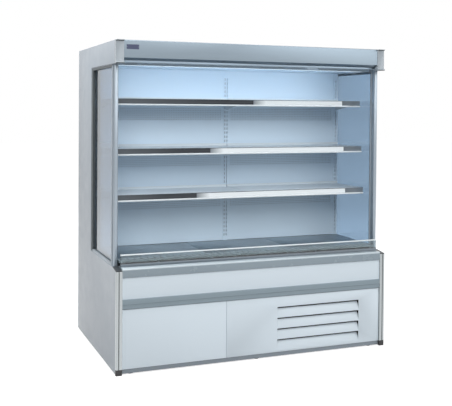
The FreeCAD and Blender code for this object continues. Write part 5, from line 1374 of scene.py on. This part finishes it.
floor_mesh.materials.append(floor_finish)

world = bpy.data.worlds.new("studio")
bpy.context.scene.world = world
world.use_nodes = True
tree = world.node_tree
background = tree.nodes["Background"]
background.inputs["Color"].default_value = white
background.inputs["Strength"].default_value = 0.44
seen = added(tree, "ShaderNodeBackground", {"Color": white, "Strength": 1.0})
mix = added(tree, "ShaderNodeMixShader", {0: seen_rays(tree), 1: background.outputs[0], 2: seen.outputs[0]})
tree.links.new(mix.outputs[0], tree.nodes["World Output"].inputs["Surface"])


def soft_lamp(name, place, target, size, power, colour=(1, 1, 1)):
    light = bpy.data.lights.new(name, "AREA")
    light.shape = "RECTANGLE"
    light.size, light.size_y = size
    light.energy = power
    light.color = colour
    lamp = linked(name, light)
    lamp.location = place
    lamp.rotation_euler = (Vector(target) - Vector(place)).to_track_quat("-Z", "Y").to_euler()


soft_lamp("key", (-2.0, -4.6, 3.6), (0, 0, 1.2), (3.0, 2.0), 108, (1.0, 0.99, 0.97))
soft_lamp("side", (-2.1, 0.2, 3.3), (-0.92, 0.0, 1.6), (1.2, 1.0), 38, (0.97, 0.99, 1.0))
soft_lamp("fill", (4.2, -4.6, 4.0), (0.4, 0, 0.8), (5.0, 3.0), 100, (0.97, 0.99, 1.0))
lamp_low, lamp_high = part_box("header_lamp")
canopy_place = (0, lamp_high.y, lamp_low.z - 0.004)
soft_lamp("canopy", canopy_place, (0, 0.12, 1.3), (1.66, 0.03), 2.1, (0.88, 0.95, 1.0))
soft_lamp("rear", (1.6, 5.0, 3.6), (0, 0.5, 1.0), (3.0, 2.0), 90)
soft_lamp("card", (0.1, -4.6, 2.6), (-0.8, -0.5, 1.9), (1.2, 1.0), 9)
soft_lamp("top", (0.0, -1.0, 4.6), (0, -0.2, 1.0), (4.0, 3.0), 62)

camera = linked("camera", bpy.data.cameras.new("camera"))
camera.data.sensor_width = 36
camera.data.lens = 61.16
camera.data.shift_x = 0.0777
camera.data.shift_y = -0.1757
yaw, pitch, roll_angle = 0.355, -0.018, 0.007
ahead = Vector((math.sin(yaw) * math.cos(pitch), math.cos(yaw) * math.cos(pitch), math.sin(pitch)))
level = Vector((math.cos(yaw), -math.sin(yaw), 0))
above = level.cross(ahead)
right = level * math.cos(roll_angle) + above * math.sin(roll_angle)
upward = above * math.cos(roll_angle) - level * math.sin(roll_angle)
turn = Matrix((right, upward, -ahead)).transposed().to_4x4()
camera.matrix_world = Matrix.Translation((-2.055, -4.825, 1.553)) @ turn
bpy.context.scene.camera = camera
bpy.context.scene.view_settings.view_transform = "Standard"
